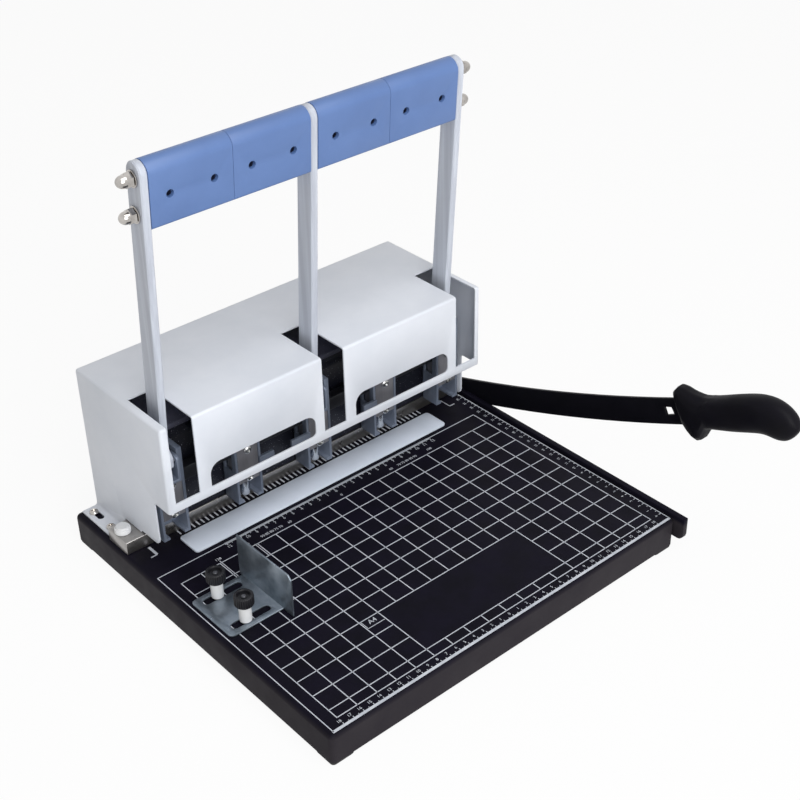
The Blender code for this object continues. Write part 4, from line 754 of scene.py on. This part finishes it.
# Hood: one white powder-coated sheet folded over the frame, with three lever slots and two windows.
# It has stepped side walls and stands on two flanges that are screwed to the housing.
hood_white = finish_material(
    "hood_white", (226, 230, 238), (217, 222, 231), (0.38, 0.48), patches=12, grain_size=650,
    grain_depth=0.00003,
)
hood_low, hood_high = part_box("hood_cover")
screw_lines = (("left", hood_low.x + 7 * mm), ("right", hood_high.x - 6.5 * mm))
screw_rows = (table_y + 315.5 * mm, table_y + 344.5 * mm)
slot_radius, slot_reach, slot_shift, slot_sides = 3.1 * mm, 9.5 * mm, 1.2 * mm, 24
slots = bmesh.new()
for side, x in screw_lines:
    middle = x + slot_shift * (1 if side == "left" else -1)
    outline = [
        (middle + slot_radius * math.cos(turn),
         screw_rows[1] - (slot_reach if turn > math.pi else 0) + slot_radius * math.sin(turn))
        for turn in [math.tau * (step + 0.5) / slot_sides for step in range(slot_sides)]
    ]
    lower = [slots.verts.new((u, v, table_z - 2 * mm)) for u, v in outline]
    upper = [slots.verts.new((u, v, table_z + 5 * mm)) for u, v in outline]
    slots.faces.new(lower)
    slots.faces.new(upper)
    for step in range(slot_sides):
        after = (step + 1) % slot_sides
        slots.faces.new((lower[step], lower[after], upper[after], upper[step]))
bmesh.ops.recalc_face_normals(slots, faces=slots.faces)
slot_tool = bpy.data.meshes.new("slots")
slots.to_mesh(slot_tool)
slots.free()
hood_sheet = carved(softened("hood_cover", 0.0003), slot_tool)
put_piece("hood_sheet", hood_sheet, hood_white, "base", "hood_white", "hood_cover")

# Hood screws: four chrome pan heads, two through each base flange of the hood.
# The rear one on each side sits at the end of a long slot, in which the hood is set.
chrome = finish_material(
    "chrome", (198, 194, 190), (160, 156, 152), (0.06, 0.14), metal=1.0, patches=80, grain_size=300,
    grain_depth=0.000004,
)
flange_top = table_z + 1.8 * mm
hood_screw_seed = 31
for side, x in screw_lines:
    points = [(x, y, flange_top) for y in screw_rows]
    set_screws("hood_screws_" + side, pan_head, points, (0, 0, 1), hood_screw_seed, chrome, "base", "chrome")

# Lever arms: three flat steel bars with rounded feet, white powder coated.
# They turn on bright pivot bolts, which stay fixed in the brackets.
arm_white = finish_material(
    "arm_white", (202, 208, 219), (182, 187, 199), (0.34, 0.46), patches=260, grain_size=650,
    grain_depth=0.00003, stretch=(1, 0.8, 0.012),
)


def lower_tops(reach, drop):
    """Takes the top of an upright piece down by a little, below which it stays as it is."""
    def reshape(work):
        top = max(vert.co.z for vert in work.verts)
        for vert in work.verts:
            if vert.co.z > top - reach:
                vert.co.z -= drop
    return reshape


arm_top_reach, arm_top_drop = 12.2 * mm, 2.4 * mm
for place in ("outer_left", "centre", "outer_right"):
    arm, bolt = f"lever_arm_{place}", f"pivot_bolt_{place}"
    bar_mesh = softened(arm, 0.0006, 3, reshape=lower_tops(arm_top_reach, arm_top_drop))
    put_piece(arm + "_bar", bar_mesh, arm_white, "lever", "arm_white", arm)
    put_piece(bolt + "_turned", softened(bolt, 0.0002), bright_steel, "base", "bright_steel", bolt)

# Grips: four blue moulded blocks between the arms, two on each side of the middle one.
# Each is held by two sunk screws, whose near-black heads are partly painted shade for the deep sinks, and
# the skin is finely textured.
grip_blue = finish_material(
    "grip_blue", (96, 125, 178), (90, 118, 170), (0.36, 0.48), patches=16, grain_size=1100,
    grain_depth=0.00005,
)
# The screw heads' near-black is partly painted shade, for the dark at the bottom of the sinks.
grip_screw_black = finish_material(
    "grip_screw_black", (20, 24, 44), (14, 17, 32), (0.45, 0.6), patches=200, grain_size=1400,
    shine=0.1,
)
sunk_head = carved(
    turned(((0, 0.1), (2.5, 0.1), (2.6, 0.3), (2.6, 1.4), (2.3, 1.7), (0, 1.7)), 24),
    cross_tool(1.7, 0.9, 3.0, 0.8),
)
# The sinks: their outward direction, their inset from the grip's end, their bottom's place from the grip's
# lower front corner, and how much wider than the CAD's they are.
sink_axis = Vector((0, -0.9968, -0.0797))
sink_inset, sink_depth, sink_level = 17.6 * mm, 5.55 * mm, 25.6 * mm
sink_widening = 0.2
grip_top_reach, grip_top_drop = 8 * mm, 0.6 * mm


def shape_grip(seats):
    """Lowers a grip's top and widens its sinks to the size of the real ones."""
    lower = lower_tops(grip_top_reach, grip_top_drop)

    def reshape(work):
        for vert in work.verts:
            for seat in seats:
                offset = vert.co - seat
                across = offset - sink_axis * offset.dot(sink_axis)
                if across.length < 3.1 * mm and offset.length < 6 * mm:
                    vert.co += across * sink_widening
        lower(work)
    return reshape


first_grip_seed = 50
for number in (1, 2, 3, 4):
    grip = f"grip_{number}"
    low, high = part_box(grip)
    seats = [
        Vector((x, low.y + sink_depth, low.z + sink_level)) for x in (low.x + sink_inset, high.x - sink_inset)
    ]
    block_mesh = softened(grip, 0.0013, 3, reshape=shape_grip(seats))
    put_piece(grip + "_block", block_mesh, grip_blue, "lever", "grip_blue", grip)
    set_screws(
        grip + "_screws", sunk_head, seats, tuple(sink_axis), first_grip_seed + number, grip_screw_black,
        "lever", "black_plastic",
    )

# Tie rods: two steel rods that run through all grips and arms and hold them together.
# Each end is closed by a washer and a chrome acorn nut.
for rod in ("tie_rod_lower", "tie_rod_upper"):
    put_piece(rod + "_turned", softened(rod, 0.0003), bright_steel, "lever", "bright_steel", rod)
for end, outward in (("left", -1), ("right", 1)):
    for level in ("lower", "upper"):
        node = f"acorn_nut_{level}_{end}"
        low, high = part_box(node)
        long = (high.x - low.x) / mm
        dome = [
            (5.2 * math.cos(step * math.pi / 16), 8.4 + (long - 8.4) * math.sin(step * math.pi / 16))
            for step in range(8)
        ]
        nut = bmesh.new()
        for profile, sides in (
            (((0, 0), (7.0, 0), (7.1, 0.3), (7.1, 1.1), (6.9, 1.3), (0, 1.3)), 36),
            (((0, 1.5), (5.9, 1.5), (6.6, 2.1), (6.6, 6.2), (5.7, 7.0), (0, 7.0)), 6),
            (((0, 6.8), (5.3, 6.8), *dome, (0, long)), 36),
        ):
            form = turned(profile, sides)
            nut.from_mesh(form)
            bpy.data.meshes.remove(form)
        nut_mesh = bpy.data.meshes.new(node)
        nut.to_mesh(nut_mesh)
        nut.free()
        shade_by_angle(nut_mesh)
        seat = low.x if outward > 0 else high.x
        spot = Vector((seat, (low.y + high.y) / 2, (low.z + high.z) / 2))
        nut_mesh.transform(Matrix.Translation(spot) @ Matrix.Rotation(outward * math.pi / 2, 4, "Y"))
        put_piece(node + "_cap", nut_mesh, chrome, "lever", "chrome", node)

# Back gauge: a polished steel bar that slides on the table behind the pad, where the sheet stops.
# A turned white plastic knob clamps it at each end.
gauge_steel = finish_material(
    "gauge_steel", (168, 165, 162), (146, 144, 143), (0.26, 0.36), metal=0.95, patches=25,
    grain_size=500, stretch=(0.06, 1, 1), grain_depth=0.00001,
)
white_plastic = finish_material(
    "white_plastic", (228, 229, 230), (218, 220, 223), (0.3, 0.4), patches=40, grain_size=900
)
put_piece(
    "gauge_bar_polished", softened("back_gauge_bar", 0.0005), gauge_steel, "back_gauge", "bright_steel",
    "back_gauge_bar",
)
for side in ("left", "right"):
    knob = f"gauge_knob_{side}"
    low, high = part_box(knob)
    cap = turned(
        ((0, 0.2), (7.0, 0.2), (7.3, 0.6), (7.3, 4.2), (7.0, 4.7), (6.0, 4.9), (5.8, 5.2), (5.8, 6.1),
         (5.4, 6.5), (0, 6.6)), 48,
    )
    seat = Vector(((low.x + high.x) / 2, (low.y + high.y) / 2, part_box("back_gauge_bar")[1].z))
    cap.transform(Matrix.Translation(seat))
    put_piece(knob + "_cap", cap, white_plastic, knob + "_turn", "white_plastic", knob)

# Side guide: an angle of galvanised sheet with two slots in its foot, which the sheet lies against.
# It slides on two studs with white sleeves and is clamped by black ribbed thumb knobs.
galvanised = finish_material(
    "galvanised", (146, 155, 165), (116, 127, 137), (0.26, 0.4), metal=0.85, patches=55,
    grain_size=260, grain_depth=0.00002,
)
guide_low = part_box("side_guide")[0]
guide_sheet = 1.5 * mm
slot_way, slot_widening = 2.8 * mm, 0.5
slot_ends = (guide_low.x + 8.2 * mm + slot_way, guide_low.x + 44.8 * mm - slot_way)
slot_rows = [(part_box(knob)[0].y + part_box(knob)[1].y) / 2 for knob in ("thumb_knob_front", "thumb_knob_rear")]


def widen_slots(work):
    """Opens the foot's two slots to the width of the real ones, round their end centres."""
    for vert in work.verts:
        if vert.co.z > guide_low.z + 2 * mm:
            continue
        for row in slot_rows:
            end = min(max(vert.co.x, slot_ends[0]), slot_ends[1])
            across = Vector((vert.co.x - end, vert.co.y - row, 0))
            if across.length < slot_way * 1.1:
                vert.co += across * slot_widening


guide_mesh = softened("side_guide", 0.0003, reshape=widen_slots)
put_piece("side_guide_angle", guide_mesh, galvanised, "side_guide", "galvanised", "side_guide")
black_plastic = finish_material(
    "black_plastic", (26, 26, 30), (20, 20, 24), (0.34, 0.46), patches=50, grain_size=900, shine=0.3
)
dull_steel = finish_material(
    "dull_steel", (96, 97, 102), (70, 71, 76), (0.4, 0.5), metal=0.7, patches=120, grain_size=900
)
guide_foot_top = guide_low.z + guide_sheet


def ribbed(work, centre, outer, depth, ribs):
    """Draws the rim of a round piece in between its ribs."""
    rim_band = 0.6 * mm
    for vert in work.verts:
        across = Vector((vert.co.x - centre.x, vert.co.y - centre.y))
        if across.length > outer - rim_band:
            wave = 0.5 - 0.5 * math.cos(math.atan2(across.y, across.x) * ribs)
            across *= 1 - depth * wave / across.length
            vert.co.x, vert.co.y = centre.x + across.x, centre.y + across.y


knob_radius, rib_depth, rib_count = 8.5 * mm, 0.55 * mm, 28
for place in ("front", "rear"):
    stud, knob = f"guide_stud_{place}", f"thumb_knob_{place}"
    low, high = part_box(knob)
    centre = Vector(((low.x + high.x) / 2, (low.y + high.y) / 2, 0))
    base_level, top_level = low.z / mm, high.z / mm
    sleeve = turned(
        ((0, guide_foot_top / mm + 0.3), (5.1, guide_foot_top / mm + 0.3), (5.4, guide_foot_top / mm + 0.6),
         (5.4, base_level - 0.5), (5.2, base_level - 0.2), (0, base_level - 0.2)), 40,
    )
    sleeve.transform(Matrix.Translation(centre))
    put_piece(stud + "_sleeve", sleeve, white_plastic, "base", "white_plastic", stud)
    head = turned(
        ((0, base_level), (7.6, base_level), (8.4, base_level + 0.8), (8.5, base_level + 1.4),
         (8.5, top_level - 1.3), (8.3, top_level - 0.5), (7.7, top_level), (6.0, top_level), (5.6, top_level - 0.6),
         (5.5, top_level - 2.6), (0, top_level - 2.6)), 112,
    )
    work = bmesh.new()
    work.from_mesh(head)
    ribbed(work, Vector((0, 0, 0)), knob_radius, rib_depth, rib_count)
    work.to_mesh(head)
    work.free()
    shade_by_angle(head, 50)
    head.transform(Matrix.Translation(centre))
    put_piece(knob + "_head", head, black_plastic, knob + "_turn", "black_plastic", knob)
    tip = turned(
        ((0, top_level - 2.7), (2.1, top_level - 2.7), (2.1, top_level - 1.6), (1.7, top_level - 1.1),
         (0, top_level - 1.0)), 28,
    )
    tip.transform(Matrix.Translation(centre))
    put_piece(stud + "_tip", tip, dull_steel, "base", "bright_steel")

# Cutter: a bed bar on the right of the housing and a curved blade, ground from plate and blackened.
# The blade turns on a bolt in the bed bar and has a latch hole and a moulded black handle.
blade_black = finish_material(
    "blade_black", (15, 14, 21), (12, 12, 17), (0.36, 0.5), patches=20, grain_size=500,
    grain_depth=0.00002, shine=0.08,
)
handle_black = finish_material(
    "handle_black", (17, 16, 23), (14, 13, 18), (0.4, 0.54), patches=30, grain_size=1200,
    grain_depth=0.00005, shine=0.08,
)
bed_mesh = softened("cutter_bed_bar", 0.0004)
put_piece("cutter_bed", bed_mesh, black_coat, "base", "black_coat", "cutter_bed_bar")
# The latch hole's corners, as Y and Z in mm: where the CAD has them, and where the real hole's are.
latch_corners = (
    ((-230.1, 98.9), (-232.6, 100.4)), ((-238.2, 102.6), (-240.9, 103.7)),
    ((-244.8, 96.8), (-245.1, 98.3)), ((-236.6, 93.1), (-236.4, 93.3)),
)


def tighten_latch(work):
    """Moves the latch hole's corners to those of the real, smaller hole."""
    near = 0.4 * mm
    for vert in work.verts:
        for (old_y, old_z), (new_y, new_z) in latch_corners:
            if math.hypot(vert.co.y - old_y * mm, vert.co.z - old_z * mm) < near:
                vert.co.y, vert.co.z = new_y * mm, new_z * mm


blade_mesh = softened("cutter_blade", 0.0002, reshape=tighten_latch)
put_piece("cutter_blade_plate", blade_mesh, blade_black, "cutter_arm", "blade_black", "cutter_blade")
grasp = bmesh.new()
grasp.from_mesh(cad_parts["cutter_handle"].data)
bmesh.ops.remove_doubles(grasp, verts=grasp.verts, dist=merge_reach)
bmesh.ops.join_triangles(
    grasp, faces=grasp.faces, angle_face_threshold=math.radians(50), angle_shape_threshold=math.radians(180)
)
# The guard's rim stays crisp, and the grasp behind it is round.
guard_back, guard_crease = -282 * mm, 0.55
creases = grasp.edges.layers.float.new("crease_edge")
for edge in grasp.edges:
    if min(vert.co.y for vert in edge.verts) > guard_back:
        edge[creases] = guard_crease
grasp_mesh = bpy.data.meshes.new("handle")
grasp.to_mesh(grasp_mesh)
grasp.free()
grasp_mesh.polygons.foreach_set("use_smooth", [True] * len(grasp_mesh.polygons))
grasp_piece = put_piece(
    "cutter_handle_grasp", grasp_mesh, handle_black, "cutter_arm", "black_plastic", "cutter_handle"
)
rounding = grasp_piece.modifiers.new("rounding", "SUBSURF")
rounding.levels = rounding.render_levels = 2
bolt_mesh = softened("cutter_pivot_bolt", 0.0003)
put_piece("cutter_pivot_bolt_turned", bolt_mesh, bright_steel, "base", "bright_steel", "cutter_pivot_bolt")

# Studio: a matt floor and a world around it, which show as plain white to the camera and in metal but
# light the machine only weakly. Two soft lamps, one in front and one above, light it from the operator's side.
floor_z = cad_box[0].z
floor_mesh = bpy.data.meshes.new("floor")
reach = 9.0
floor_mesh.from_pydata(
    [(-reach, -reach, floor_z), (reach, -reach, floor_z), (reach, reach, floor_z), (-reach, reach, floor_z)],
    [], [(0, 1, 2, 3)],
)
floor = bpy.data.objects.new("floor", floor_mesh)
bpy.context.scene.collection.objects.link(floor)
floor_white = bpy.data.materials.new("floor_white")
floor_white.use_nodes = True
tree = floor_white.node_tree
tree.nodes.clear()
matt = add_node(tree, "ShaderNodeBsdfDiffuse")
matt.inputs["Color"].default_value = (0.93, 0.93, 0.93, 1)
glow = add_node(tree, "ShaderNodeEmission")


def seen_rays(tree):
    """1 for the rays that show the background: the camera's own, mirrored ones and those through glass."""
    path = add_node(tree, "ShaderNodeLightPath")
    mirrored = add_node(tree, "ShaderNodeMath", operation="MAXIMUM")
    seen = add_node(tree, "ShaderNodeMath", operation="MAXIMUM")
    tree.links.new(path.outputs["Is Camera Ray"], mirrored.inputs[0])
    tree.links.new(path.outputs["Is Glossy Ray"], mirrored.inputs[1])
    tree.links.new(mirrored.outputs["Value"], seen.inputs[0])
    tree.links.new(path.outputs["Is Transmission Ray"], seen.inputs[1])
    return seen.outputs["Value"]


share = add_node(tree, "ShaderNodeMath", operation="MULTIPLY")
share.inputs[1].default_value = 0.92
blend = add_node(tree, "ShaderNodeMixShader")
out = add_node(tree, "ShaderNodeOutputMaterial")
tree.links.new(seen_rays(tree), share.inputs[0])
tree.links.new(share.outputs["Value"], blend.inputs["Fac"])
tree.links.new(matt.outputs["BSDF"], blend.inputs[1])
tree.links.new(glow.outputs["Emission"], blend.inputs[2])
tree.links.new(blend.outputs["Shader"], out.inputs["Surface"])
floor_mesh.materials.append(floor_white)

world = bpy.data.worlds.new("studio")
bpy.context.scene.world = world
world.use_nodes = True
tree = world.node_tree
tree.nodes.clear()
soft_light = add_node(tree, "ShaderNodeBackground")
soft_light.inputs["Color"].default_value = (1.0, 0.985, 0.965, 1)
soft_light.inputs["Strength"].default_value = 0.3
white = add_node(tree, "ShaderNodeBackground")
white.inputs["Color"].default_value = (1, 1, 1, 1)
white.inputs["Strength"].default_value = 1.0
blend = add_node(tree, "ShaderNodeMixShader")
out = add_node(tree, "ShaderNodeOutputWorld")
tree.links.new(seen_rays(tree), blend.inputs["Fac"])
tree.links.new(soft_light.outputs["Background"], blend.inputs[1])
tree.links.new(white.outputs["Background"], blend.inputs[2])
tree.links.new(blend.outputs["Shader"], out.inputs["Surface"])


def lamp(name, place, aim, size, power):
    data = bpy.data.lights.new(name, "AREA")
    data.shape = "SQUARE"
    data.size = size
    data.energy = power
    light = bpy.data.objects.new(name, data)
    bpy.context.scene.collection.objects.link(light)
    light.location = place
    light.rotation_euler = (Vector(aim) - Vector(place)).to_track_quat("-Z", "Y").to_euler()


lamp("key", (-0.6, -2.45, 1.25), (0, -0.1, 0.1), 1.8, 46)
lamp("top", (0.1, -1.2, 2.4), (0, -0.1, 0.05), 1.8, 27)

bpy.context.scene.view_settings.view_transform = "Standard"
